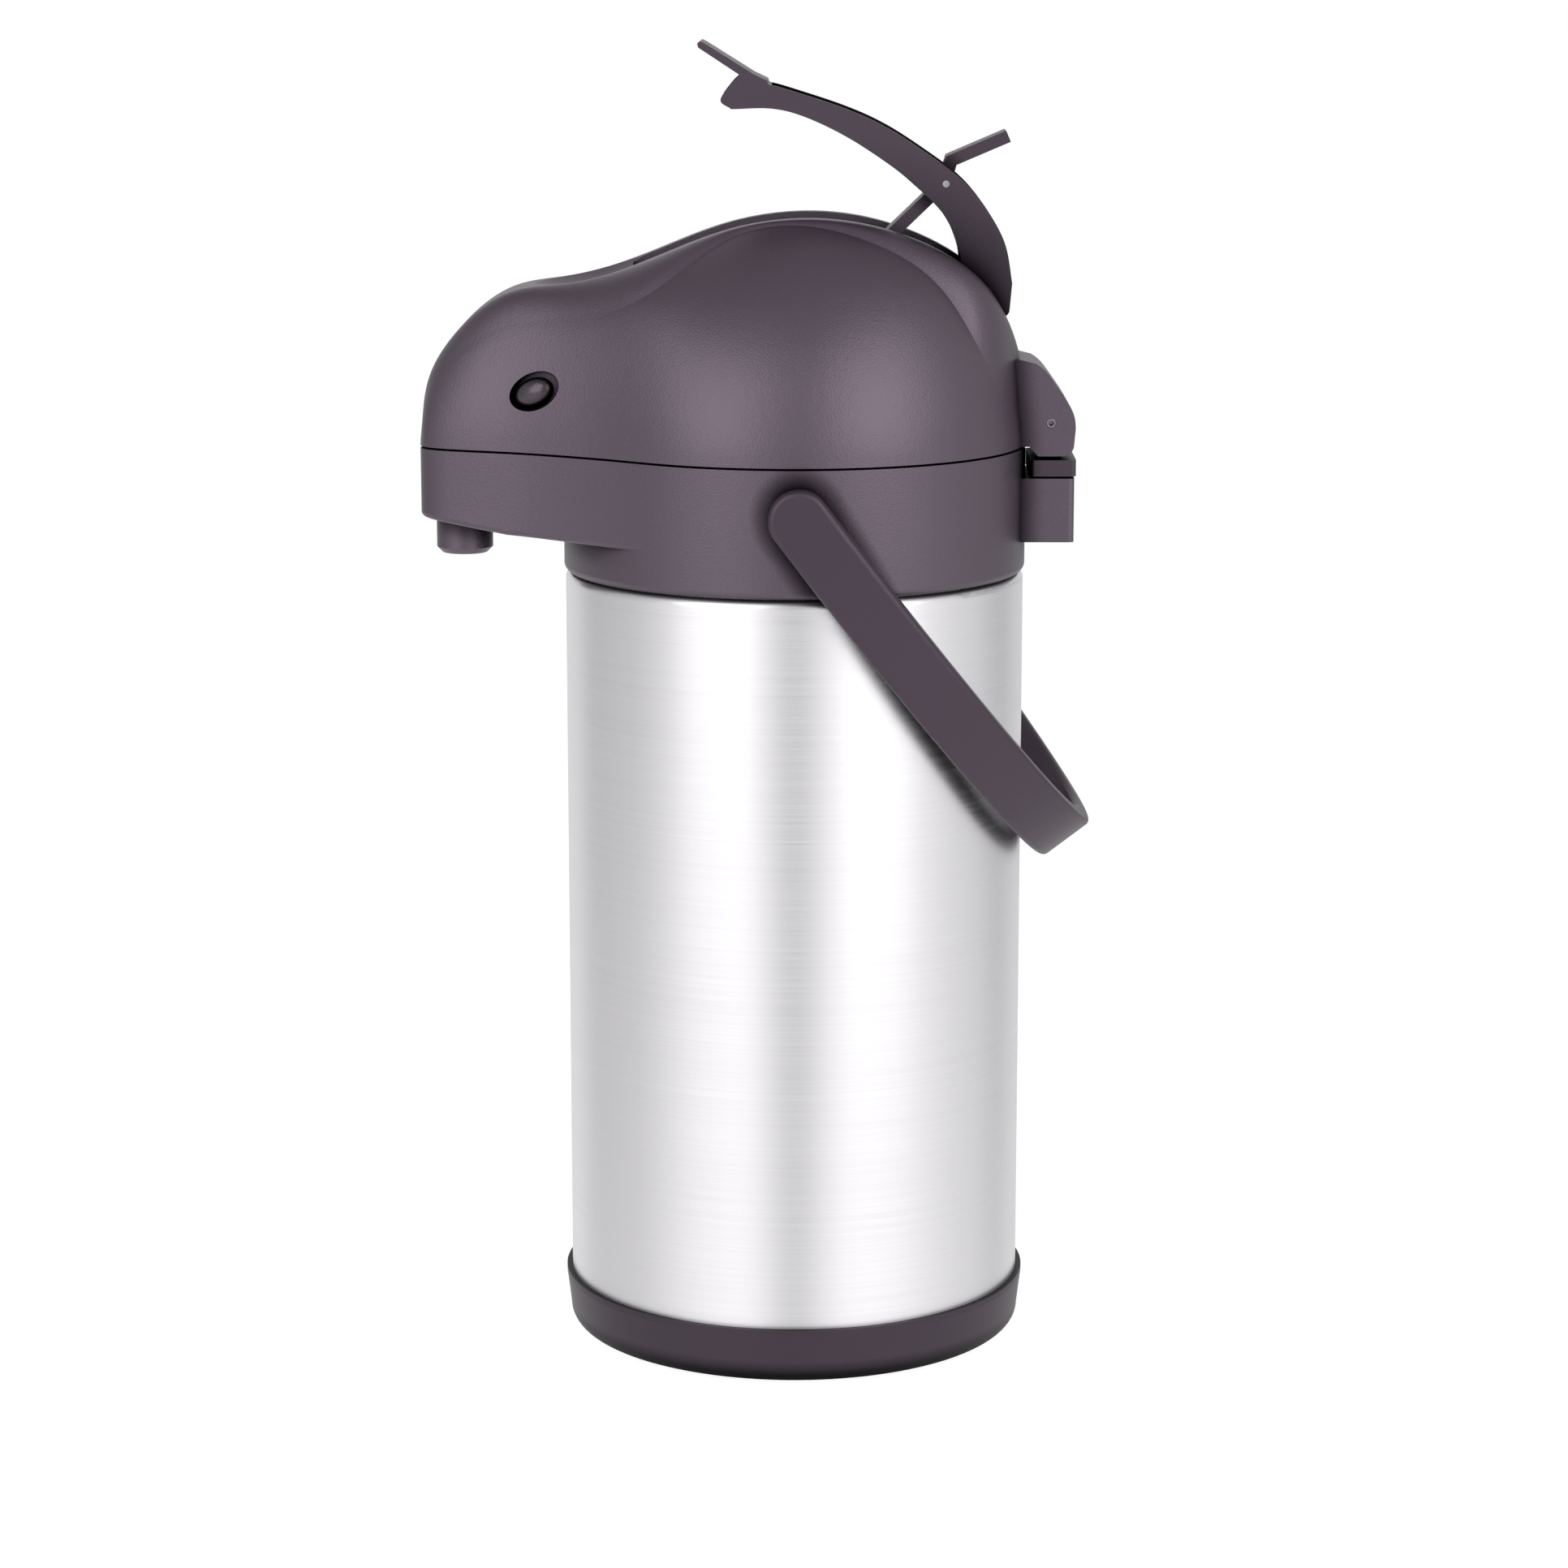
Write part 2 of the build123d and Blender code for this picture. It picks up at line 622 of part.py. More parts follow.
with BuildPart() as lid_cavity:
    for x, half_width, top in lid_stations:
        pull = wall * (lid_middle - x) / (collar_radius - lid_middle)
        with BuildSketch(Plane.YZ.offset(x + pull)):
            add(lid_section(x, half_width - wall, top - wall))
    loft()
    split(bisect_by=Plane.XY.offset(lid_bottom - 1), keep=Keep.TOP)
    casing_front = channel_front - channel_wall
    casing_floor = [(x, z - channel_wall) for x, z in channel_floor]
    with BuildSketch(Plane.XZ):
        add(side_profile(casing_floor + [(95, 420), (casing_front, 420), (casing_front, 376.5)]))
    extrude(amount=channel_half_width + channel_wall, both=True, mode=Mode.SUBTRACT)
    with Locations(scoop_centre):
        Sphere(scoop_radius + wall, mode=Mode.SUBTRACT)
    for side in button_sides.values():
        with BuildSketch(button_plane(side).offset(-7)):
            Ellipse(13, 9.5, rotation=-side * button_tilt)
        extrude(amount=14, mode=Mode.SUBTRACT)

with BuildPart() as lid_shell:
    for x, half_width, top in lid_stations:
        with BuildSketch(Plane.YZ.offset(x)):
            add(lid_section(x, half_width, top))
    loft()
    split(bisect_by=Plane.XY.offset(lid_bottom), keep=Keep.TOP)
    with BuildSketch(Plane.XZ):
        with BuildLine():
            Polyline((70, 354), (78.7, 354.3), (84.4, 352.9))
            Spline((84.4, 352.9), (91.3, 345.9), (96.6, 338), (98.7, 330), tangents=((0.9, -0.45), (0, -1)))
            Line((98.7, 330), (98.2, 324.5))
            TangentArc((98.2, 324.5), (94.2, 320.4), tangent=(0, -1))
            Polyline((94.2, 320.4), (85.6, 320.4), (82.7, 323.4), (82.7, lid_bottom), (70, lid_bottom), (70, 354))
        make_face()
    extrude(amount=hinge_width / 2, both=True)
    add(lid_cavity.part, mode=Mode.SUBTRACT)
    with BuildSketch(Plane.XZ):
        add(side_profile(channel_floor + [(95, 420), (channel_front, 420)]))
    extrude(amount=channel_half_width, both=True, mode=Mode.SUBTRACT)
    with BuildSketch(Plane.XY.offset(360)):
        with Locations((18, 0)):
            Rectangle(54, 20)
    extrude(amount=40, mode=Mode.SUBTRACT)
    with Locations(scoop_centre):
        Sphere(scoop_radius, mode=Mode.SUBTRACT)
    with BuildSketch(Plane.XZ):
        with Locations((94, 325.8)):
            Rectangle(22, 24)
        with Locations((hinge_x, hinge_z)):
            Circle(8.5)
    extrude(amount=knuckle_width / 2 + running_gap, both=True, mode=Mode.SUBTRACT)
    with BuildSketch(Plane.XZ):
        with Locations((hinge_x, hinge_z)):
            Circle(hinge_pin_radius + 0.05)
    extrude(amount=hinge_width, both=True, mode=Mode.SUBTRACT)
    with BuildSketch(Plane.XZ):
        with Locations((lever_pivot_x, lever_pivot_z)):
            Circle(lever_pin_radius)
    extrude(amount=channel_half_width + channel_wall - 0.5, both=True, mode=Mode.SUBTRACT)
    for side in button_sides.values():
        with BuildSketch(button_plane(side).offset(-3)):
            Ellipse(10, 6.5, rotation=-side * button_tilt)
        extrude(amount=12, mode=Mode.SUBTRACT)
        with BuildSketch(button_plane(side).offset(-10)):
            with Locations((-1.3, side * 0.8)):
                Ellipse(7.9, 5.1, rotation=-side * button_tilt)
        extrude(amount=12, mode=Mode.SUBTRACT)
lid_shell.part.label = "lid_shell"
export_step(lid_shell.part, "parts/lid_shell.step")

# Plate that closes the lid from below, with a collar for the gasket
underplate_bottom = lid_bottom + 0.6
gasket_outer = 42.0
gasket_inner = 34.0
screw_spots = [(-112, 0), (-52, 38), (-52, -38), (58, 34), (58, -34)]
with BuildPart() as lid_underplate:
    with BuildSketch(Plane.XY.offset(underplate_bottom)):
        add(seam_outline(4.2))
        with Locations((82, 0)):
            Rectangle(14, 60, mode=Mode.SUBTRACT)
    extrude(amount=bellows_bottom - underplate_bottom)
    with BuildSketch(Plane.XY.offset(underplate_bottom)):
        Circle(25)
    extrude(amount=20, mode=Mode.SUBTRACT)
    with BuildSketch(Plane.XY.offset(underplate_bottom)):
        Circle(25)
        Circle(6, mode=Mode.SUBTRACT)
    extrude(amount=1.2)
    with Locations(*[(x, y, underplate_bottom) for x, y in screw_spots]):
        Hole(1.6, depth=10)
lid_underplate.part.label = "lid_underplate"
export_step(lid_underplate.part, "parts/lid_underplate.step")

with BuildPart() as underplate_screws:
    with BuildSketch(Plane.XY.offset(underplate_bottom)):
        with Locations(*screw_spots):
            Circle(3)
    extrude(amount=-1.2)
    with BuildSketch(Plane.XY.offset(underplate_bottom)):
        with Locations(*screw_spots):
            Circle(1.6)
    extrude(amount=8)
underplate_screws.part.label = "underplate_screws"
export_step(underplate_screws.part, "parts/underplate_screws.step")

# Rubber ring that seals the lid on the tube holder
with BuildPart() as lid_gasket:
    with BuildSketch(Plane.XY.offset(holder_top + running_gap)):
        Circle(gasket_outer)
        Circle(gasket_inner, mode=Mode.SUBTRACT)
    extrude(amount=underplate_bottom - holder_top - running_gap)
    fillet(lid_gasket.edges().group_by(Axis.Z)[0], 1.0)
lid_gasket.part.label = "lid_gasket"
export_step(lid_gasket.part, "parts/lid_gasket.step")

# Bellows: pleated sleeve between the underplate and the pump plate
bellows_wall = 1.2
bellows_pleat = 5.0
rib = (bellows_top - bellows_bottom - 2) / bellows_ribs
crests = [(bellows_radius - bellows_pleat, bellows_bottom + 1)]
for i in range(bellows_ribs):
    crests.append((bellows_radius, bellows_bottom + 1 + rib * (i + 0.5)))
    crests.append((bellows_radius - bellows_pleat, bellows_bottom + 1 + rib * (i + 1)))
with BuildPart() as bellows:
    with BuildSketch(Plane.XZ):
        with BuildLine():
            outside = [(crests[0][0], bellows_bottom)] + crests + [(crests[-1][0], bellows_top)]
            inside = [(r - 1.7 * bellows_wall, z) for r, z in outside][::-1]
            Polyline(*outside, *inside, close=True)
        make_face()
    revolve(axis=Axis.Z)
bellows.part.label = "bellows"
export_step(bellows.part, "parts/bellows.step")

# Return spring inside the bellows
spring_radius = 16.0
with BuildPart() as return_spring:
    with BuildSketch(Plane.XY.offset(bellows_bottom + 0.5)):
        Circle(spring_radius + 1)
        Circle(spring_radius - 1, mode=Mode.SUBTRACT)
    extrude(amount=bellows_top - bellows_bottom - 1)
return_spring.part.label = "return_spring"
export_step(return_spring.part, "parts/return_spring.step")

# Pump plate with the raised block that the link presses
block_x = 22.0
with BuildPart() as plunger:
    with BuildSketch(Plane.XY.offset(bellows_top)):
        Circle(bellows_radius - bellows_pleat)
    extrude(amount=3)
    with BuildSketch(Plane.XY.offset(bellows_top + 3)):
        with Locations((block_x, 0)):
            RectangleRounded(15, 15, 2)
    extrude(amount=plunger_top - bellows_top - 3)
    with BuildSketch(Plane.XY.offset(bellows_top + 3)):
        with PolarLocations(12, 4, start_angle=45):
            Rectangle(22, 1.6)
    extrude(amount=3)
plunger.part.label = "plunger"
export_step(plunger.part, "parts/plunger.step")

# Lever: a channel section that curves up and forward from the pivot to a finger plate
pivot = (lever_pivot_x, lever_pivot_z)
belly = [(-21.7, 441.0), (-11.2, 441.3), (9.4, 435.6), (29.1, 424.8), (42.6, 414.1), (53.0, 403.3),
         (57.5, 392.5), (58.4, 384.0)]
back = [(76.9, 381.8), (75.4, 388.9), (72.5, 396.1), (68.3, 403.3), (60.8, 414.1), (51.5, 424.8),
        (37.8, 435.6), (18.1, 446.3), (-9.7, 453.8)]
finger_plate = [(-9.7, 453.8), (-14.2, 454.9), (-30.7, 464.9), (-34.3, 464.2), (-34.4, 461.2), (-21.7, 452.6)]
front_hook = [(-21.7, 452.6), (-26.6, 445.6), (-25.9, 442.4), (-21.7, 441.0)]
trough = [(x + 1.6, z + 2.8) for x, z in belly[1:6]]
link_spot = (link_x, link_z)
with BuildPart() as lever:
    with BuildSketch(Plane.XZ):
        with BuildLine():
            Spline(*belly, tangents=((1, 0.15), (0, -1)))
            Line(belly[-1], (58.6, 376))
            TangentArc((58.6, 376), (66.5, 368.6), tangent=(0, -1))
            Line((66.5, 368.6), (77.2, 369.6))
            Line((77.2, 369.6), back[0])
            Spline(*back, tangents=((0, 1), (-1, 0.22)))
            Polyline(*finger_plate)
            Polyline(*front_hook)
        make_face()
        with Locations(pivot):
            Circle(lever_pin_radius + 0.05, mode=Mode.SUBTRACT)
    extrude(amount=lever_half_width, both=True)
    with BuildSketch(Plane.XZ):
        with BuildLine():
            Spline(*trough)
            Polyline(trough[-1], (58, 412), (60, 440), (20, 470), (-7.6, 460), trough[0])
        make_face()
        with Locations(link_spot):
            Circle(12.5)
        with Locations((38, 416.5)):
            Rectangle(9, 8)
    extrude(amount=lever_half_width - 2.6, both=True, mode=Mode.SUBTRACT)
    with BuildSketch(Plane.XZ):
        with Locations(link_spot):
            Circle(link_pin_radius)
    extrude(amount=lever_half_width - 0.2, both=True, mode=Mode.SUBTRACT)
lever.part.label = "lever"
export_step(lever.part, "parts/lever.step")

with BuildPart() as lever_pin:
    with BuildSketch(Plane.XZ):
        with Locations(pivot):
            Circle(lever_pin_radius)
    extrude(amount=channel_half_width + channel_wall - 0.5, both=True)
lever_pin.part.label = "lever_pin"
export_step(lever_pin.part, "parts/lever_pin.step")

with BuildPart() as link_pin:
    with BuildSketch(Plane.XZ):
        with Locations(link_spot):
            Circle(link_pin_radius)
    extrude(amount=lever_half_width - 0.2, both=True)
link_pin.part.label = "link_pin"
export_step(link_pin.part, "parts/link_pin.step")

# Push link: a prong that presses the pump plate and a bent thumb tab to fold it away
link_half_width = 8.0
hub_radius = 4.2
link_bars = [(link_spot, prong_tip, 3.8), (link_spot, (54.8, 422.6), 4.6), ((54.8, 422.6), (73.6, 430.6), 4.6)]
with BuildPart() as push_link:
    with BuildSketch(Plane.XZ):
        for start, end, thickness in link_bars:
            middle = ((start[0] + end[0]) / 2, (start[1] + end[1]) / 2)
            SlotCenterPoint(middle, end, thickness)
        with Locations(link_spot):
            Circle(hub_radius)
            Circle(link_pin_radius + 0.05, mode=Mode.SUBTRACT)
    extrude(amount=link_half_width, both=True)
push_link.part.label = "push_link"
export_step(push_link.part, "parts/push_link.step")

# Release buttons: oval caps in the recesses on both sides of the nose
button_depth = 9.5
for name, side in button_sides.items():
    with BuildPart() as release_button:
        with BuildSketch(button_plane(side).offset(-button_depth)):
            with Locations((-1.3, side * 0.8)):
                Ellipse(7.5, 4.7, rotation=-side * button_tilt)
        extrude(amount=button_depth + 1)
        fillet(release_button.faces().sort_by(Axis.Y)[0 if side < 0 else -1].edges(), 2.4)
        with BuildSketch(button_plane(side).offset(-button_depth)):
            with Locations((-1.3, side * 0.8)):
                Ellipse(9.5, 6.7, rotation=-side * button_tilt)
        extrude(amount=-1.5)
    release_button.part.label = f"release_button_{name}"
    export_step(release_button.part, f"parts/release_button_{name}.step")
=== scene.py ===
"""Studio scene of a lever-top airpot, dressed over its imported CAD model."""

from __future__ import annotations

import json
import logging
import math
from collections.abc import Sequence
from dataclasses import dataclass, field
from enum import Enum

import bmesh
import bpy
from mathutils import Matrix, Vector

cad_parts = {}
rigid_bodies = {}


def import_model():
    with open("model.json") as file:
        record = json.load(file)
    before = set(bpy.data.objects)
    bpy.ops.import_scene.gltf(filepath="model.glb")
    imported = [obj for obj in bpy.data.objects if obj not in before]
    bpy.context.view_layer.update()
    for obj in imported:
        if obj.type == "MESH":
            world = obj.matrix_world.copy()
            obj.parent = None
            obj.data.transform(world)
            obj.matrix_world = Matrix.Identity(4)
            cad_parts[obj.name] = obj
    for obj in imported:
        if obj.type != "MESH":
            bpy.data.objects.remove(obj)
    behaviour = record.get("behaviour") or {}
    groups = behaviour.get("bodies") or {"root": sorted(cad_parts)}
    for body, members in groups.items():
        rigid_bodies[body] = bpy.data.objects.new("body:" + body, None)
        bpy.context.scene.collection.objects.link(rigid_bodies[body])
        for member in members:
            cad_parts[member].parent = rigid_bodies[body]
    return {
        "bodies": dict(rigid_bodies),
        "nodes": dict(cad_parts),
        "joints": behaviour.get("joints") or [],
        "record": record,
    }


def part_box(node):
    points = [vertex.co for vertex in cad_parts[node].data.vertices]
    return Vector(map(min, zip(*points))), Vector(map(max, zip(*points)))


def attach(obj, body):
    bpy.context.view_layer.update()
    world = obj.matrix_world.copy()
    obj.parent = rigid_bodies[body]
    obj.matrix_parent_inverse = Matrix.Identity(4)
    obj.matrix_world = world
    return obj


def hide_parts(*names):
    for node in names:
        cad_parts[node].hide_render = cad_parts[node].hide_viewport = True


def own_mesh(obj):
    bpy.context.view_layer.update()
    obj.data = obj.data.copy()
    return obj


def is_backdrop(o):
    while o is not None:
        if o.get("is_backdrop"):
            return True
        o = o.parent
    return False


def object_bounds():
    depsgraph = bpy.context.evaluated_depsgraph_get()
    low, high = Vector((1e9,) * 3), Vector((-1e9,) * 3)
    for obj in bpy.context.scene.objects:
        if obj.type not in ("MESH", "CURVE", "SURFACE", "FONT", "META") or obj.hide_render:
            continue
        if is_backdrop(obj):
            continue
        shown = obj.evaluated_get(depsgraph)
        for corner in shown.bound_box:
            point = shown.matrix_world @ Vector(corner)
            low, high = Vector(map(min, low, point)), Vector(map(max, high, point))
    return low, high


LOG = logging.getLogger("airpot")

# One millimetre in metres, and how near two corners are one corner
MM = 0.001
SAME_SPOT = 0.001 * MM

# How far a through hole's tool reaches past a piece, in millimetres, and the sides of round tools
CUT_MARGIN = 1.0
HUB_SIDES = 24
PIN_SIDES = 16

# The values of a noise between which a colour changes, and the rays that look for nearby walls to paint shade
# in gaps
NOISE_BAND = (0.3, 0.7)
PAINTED_SHADE_RAYS = 8

Colour = tuple[float, float, float]
Point = tuple[float, float, float]
Spot = tuple[float, float]
Socket = str | int
Node = bpy.types.Node
Material = bpy.types.Material
Piece = bpy.types.Object


# Finishes

class NodeSheet:
    """Short ways to add and join the nodes of one shader tree."""

    def __init__(self, tree: bpy.types.NodeTree) -> None:
        """Starts from an empty tree."""
        self.tree = tree
        self.tree.nodes.clear()

    def add(self, kind: str, values: dict[Socket, object] | None = None, **settings: object) -> Node:
        """Adds a node.

        Args:
            kind: Blender's node type name.
            values: What its unlinked inputs hold, by name or number.
            settings: Its own settings, by name.

        Returns:
            The new node.
        """
        node = self.tree.nodes.new(kind)
        for name, value in settings.items():
            setattr(node, name, value)
        for socket, value in (values or {}).items():
            node.inputs[socket].default_value = value
        return node

    def join(self, source: Node, output: Socket, target: Node, socket: Socket) -> None:
        """Links one node's output to another node's input."""
        self.tree.links.new(source.outputs[output], target.inputs[socket])

    def mix(self, source: Node, output: Socket, first: Node, second: Node) -> Node:
        """Adds a mix of two shaders.

        Args:
            source: The node that chooses between them.
            output: Its output, which is 0 for the first shader and 1 for the second.
            first: One shader.
            second: The other shader.

        Returns:
            The mixed shader.
        """
        mix = self.add("ShaderNodeMixShader")
        self.join(source, output, mix, 0)
        self.join(first, 0, mix, 1)
        self.join(second, 0, mix, 2)
        return mix

    def seen(self, path: Node) -> Node:
        """Adds a value that is 1 where the camera looks, straight or through something clear."""
        seen = self.add("ShaderNodeMath", operation="MAXIMUM")
        self.join(path, "Is Camera Ray", seen, 0)
        self.join(path, "Is Transmission Ray", seen, 1)
        return seen


class MaterialSheet(NodeSheet):
    """The nodes of one material, about its Principled shader."""

    def __init__(self, name: str, values: dict[Socket, object]) -> None:
        """Starts a material, given its name and what its shader's inputs hold."""
        self.material = bpy.data.materials.new(name)
        self.material.use_nodes = True
        super().__init__(self.material.node_tree)
        self.output = self.add("ShaderNodeOutputMaterial")
        self.shader = self.add("ShaderNodeBsdfPrincipled", values)
        self.join(self.shader, "BSDF", self.output, "Surface")

    def noise(self, scale: Point, detail: float, roughness: float = 0.5) -> Node:
        """Adds a noise on Object coordinates.

        Args:
            scale: How finely it varies along X, Y and Z.
            detail: How many finer layers it has.
            roughness: How strong those layers are.

        Returns:
            The noise.
        """
        coordinates = self.add("ShaderNodeTexCoord")
        mapping = self.add("ShaderNodeMapping", {"Scale": scale})
        noise = self.add("ShaderNodeTexNoise", {"Scale": 1.0, "Detail": detail, "Roughness": roughness})
        self.join(coordinates, "Object", mapping, "Vector")
        self.join(mapping, "Vector", noise, "Vector")
        return noise

    def ramp(self, noise: Node, band: Spot, start: Colour, end: Colour) -> Node:
        """Adds a colour that follows a noise.

        Args:
            noise: The noise.
            band: The two values of the noise between which the colour changes.
            start: The colour below the band.
            end: The colour above it.

        Returns:
            The ramp.
        """
        ramp = self.add("ShaderNodeValToRGB")
        for stop, position, colour in zip(ramp.color_ramp.elements, band, (start, end)):
            stop.position = position
            stop.color = (*colour, 1)
        self.join(noise, "Fac", ramp, "Fac")
        return ramp

    def paint_crevice_shade(self, reach: float, tint: Colour) -> Node:
        """Adds painted shade: a node that darkens a tint in gaps and recesses narrower than the reach."""
        values = {"Distance": reach, "Color": (*tint, 1)}
        return self.add("ShaderNodeAmbientOcclusion", values, samples=PAINTED_SHADE_RAYS)

    def relief(self, noise: Node, strength: float, height: float) -> None:
        """Bumps the surface by a noise, with a height in metres."""
        bump = self.add("ShaderNodeBump", {"Strength": strength, "Distance": height})
        self.join(noise, "Fac", bump, "Height")
        self.join(bump, "Normal", self.shader, "Normal")


def tinted(colour: Colour, factor: float) -> Colour:
    """Makes a colour darker or lighter by a factor."""
    return tuple(factor * channel for channel in colour)


def grey(level: float) -> tuple[float, float, float, float]:
    """Gives the opaque grey of a level from 0 to 1."""
    return (level, level, level, 1.0)


class Direction(Enum):
    """Which way the fine lines of a brushed metal run, as the noise's scale along X, Y and Z."""

    ROUND = (4.0, 4.0, 1400.0)
    ALONG = (900.0, 900.0, 8.0)


@dataclass(frozen=True)
class MouldedPlastic:
    """Injection-moulded plastic with an even, fine grain from the tool, with shade painted into its gaps and
    recesses.

    Shade is painted where a wall lies within a reach, in metres, of another, darkening both the colour and
    the gloss there.
    Cloud and grain are the scales of two noises, and the grain's height is in metres.
    """

    name: str
    colour: Colour
    roughness: float
    relief: float = 0.25
    ior: float = 1.5
    shade_reach: float = 0.009
    shade_power: float = 3.0
    sheen: Colour = (1.0, 0.84, 1.0)
    cloud: float = 9.0
    cloud_tint: float = 0.06
    grain: float = 1500.0
    grain_height: float = 0.0002

    def make(self) -> Material:
        """Builds the material."""
        sheet = MaterialSheet(self.name, {"Roughness": self.roughness, "IOR": self.ior})
        cloud = sheet.noise((self.cloud,) * 3, detail=2.0)
        darker = tinted(self.colour, 1 - self.cloud_tint)
        lighter = tinted(self.colour, 1 + self.cloud_tint)
        tint = sheet.ramp(cloud, NOISE_BAND, darker, lighter)
        # Painted shade: ambient occlusion darkens the colour, the gloss tint and the gloss level in gaps and
        # recesses
        gaps = sheet.paint_crevice_shade(self.shade_reach, self.sheen)
        depth = sheet.add("ShaderNodeMath", {1: self.shade_power}, operation="POWER")
        shaded = sheet.add("ShaderNodeVectorMath", operation="SCALE")
        sheet.join(gaps, "AO", depth, 0)
        sheet.join(tint, "Color", shaded, "Vector")
        sheet.join(depth, "Value", shaded, "Scale")
        sheet.join(shaded, "Vector", sheet.shader, "Base Color")
        sheet.join(gaps, "Color", sheet.shader, "Specular Tint")
        sheet.join(depth, "Value", sheet.shader, "Specular IOR Level")
        grain = sheet.noise((self.grain,) * 3, detail=1.0)
        sheet.relief(grain, self.relief, self.grain_height)
        return sheet.material


@dataclass(frozen=True)
class BrushedSteel:
    """Sheet steel with fine lines left by the belt, whose height is in metres."""

    name: str
    colour: Colour
    roughness: float
    direction: Direction
    stretch: float = 0.0
    stretch_turn: float = 0.25
    line_tint: float = 0.955
    line_gloss: Spot = (-0.05, 0.06)
    line_height: float = 0.0001
    relief: float = 0.12

    def make(self) -> Material:
        """Builds the material."""
        sheet = MaterialSheet(self.name, {
            "Metallic": 1.0, "Anisotropic": self.stretch, "Anisotropic Rotation": self.stretch_turn,
        })
        round_axis = sheet.add("ShaderNodeTangent", direction_type="RADIAL", axis="Z")
        sheet.join(round_axis, "Tangent", sheet.shader, "Tangent")
        lines = sheet.noise(self.direction.value, detail=4.0, roughness=0.6)
        tint = sheet.ramp(lines, NOISE_BAND, tinted(self.colour, self.line_tint), self.colour)
        sheet.join(tint, "Color", sheet.shader, "Base Color")
        smooth, rough = (self.roughness + change for change in self.line_gloss)
        gloss = sheet.ramp(lines, NOISE_BAND, (smooth,) * 3, (rough,) * 3)
        sheet.join(gloss, "Color", sheet.shader, "Roughness")
        sheet.relief(lines, self.relief, self.line_height)
        return sheet.material


@dataclass(frozen=True)
class Rubber:
    """Matte moulded rubber with a little dust on it and a fine grain, whose height is in metres."""

    name: str
    colour: Colour
    roughness: float = 0.75
    relief: float = 0.2
    dust: float = 60.0
    dust_band: Spot = (0.35, 0.75)
    dust_tint: float = 1.35
    grain: float = 900.0
    grain_height: float = 0.0002

    def make(self) -> Material:
        """Builds the material."""
        sheet = MaterialSheet(self.name, {"Roughness": self.roughness})
        dust = sheet.noise((self.dust,) * 3, detail=4.0)
        tint = sheet.ramp(dust, self.dust_band, self.colour, tinted(self.colour, self.dust_tint))
        sheet.join(tint, "Color", sheet.shader, "Base Color")
        grain = sheet.noise((self.grain,) * 3, detail=1.0)
        sheet.relief(grain, self.relief, self.grain_height)
        return sheet.material


Finish = MouldedPlastic | BrushedSteel | Rubber


@dataclass
class Finishes:
    """The finish of each material slot of the airpot."""

    slots: dict[str, Finish] = field(default_factory=lambda: {
        # Every moulded plastic gets painted shade in its gaps; the lever's painted shade reaches further,
        # into its trough
        "plastic": MouldedPlastic("plum_grey_plastic", (0.040, 0.026, 0.043), 0.40, relief=0.4, ior=1.66),
        "handle_plastic": MouldedPlastic("handle_plastic", (0.033, 0.020, 0.034), 0.42, ior=1.45),
        "lever_plastic": MouldedPlastic("lever_plastic", (0.030, 0.019, 0.032), 0.40, ior=1.5, shade_reach=0.030),
        "base_plastic": MouldedPlastic("base_plastic", (0.026, 0.016, 0.026), 0.42, relief=0.1, ior=1.4),
        "button_plastic": MouldedPlastic("button_plastic", (0.040, 0.030, 0.040), 0.22, relief=0.05),
        "inner_plastic": MouldedPlastic("inner_plastic", (0.090, 0.080, 0.090), 0.5, relief=0.1),
        "steel": BrushedSteel("brushed_shell", (0.93, 0.915, 0.94), 0.34, Direction.ROUND, 0.7),
        "liner_steel": BrushedSteel("liner_steel", (0.72, 0.72, 0.73), 0.3, Direction.ROUND),
        "pin_metal": BrushedSteel("pin_metal", (0.55, 0.54, 0.55), 0.3, Direction.ALONG),
        "dark_pin": BrushedSteel("dark_pin", (0.32, 0.28, 0.32), 0.3, Direction.ALONG),
        "rubber": Rubber("black_rubber", (0.028, 0.027, 0.028)),
        "bellows_rubber": Rubber("bellows_rubber", (0.52, 0.50, 0.48)),
    })

    def make(self) -> dict[str, Material]:
        """Builds every material, by slot."""
        return {slot: finish.make() for slot, finish in self.slots.items()}


# Shapes

def flow(points: tuple[Spot, ...], steps: int = 6) -> list[Spot]:
    """Lays a smooth line, a Catmull-Rom spline, through the points.

    Args:
        points: Places in the XZ plane, in millimetres.
        steps: Pieces of line between one point and the next.

    Returns:
        The points of the line, the first and the last among them.
    """
    knots = [Vector(point) for point in points]
    knots = [2 * knots[0] - knots[1], *knots, 2 * knots[-1] - knots[-2]]
    line = []
    for before, start, end, after in zip(knots, knots[1:], knots[2:], knots[3:]):
        for step in range(steps):
            way = step / steps
            curve = (2 * start + (end - before) * way + (2 * before - 5 * start + 4 * end - after) * way ** 2
                     + (3 * start - before - 3 * end + after) * way ** 3)
            line.append(tuple(curve / 2))
    return [*line, points[-1]]


def arc(centre: Spot, radius: float, start: float, end: float, steps: int = 8) -> list[Spot]:
    """Lays a round line about a centre between two angles in degrees."""
    turns = [math.radians(start + (end - start) * step / steps) for step in range(steps + 1)]
    return [(centre[0] + radius * math.cos(turn), centre[1] + radius * math.sin(turn)) for turn in turns]


def ring(centre: Spot, radius: float, sides: int) -> list[Spot]:
    """Lays a closed round line about a centre."""
    return arc(centre, radius, 0, 360 * (sides - 1) / sides, sides - 1)


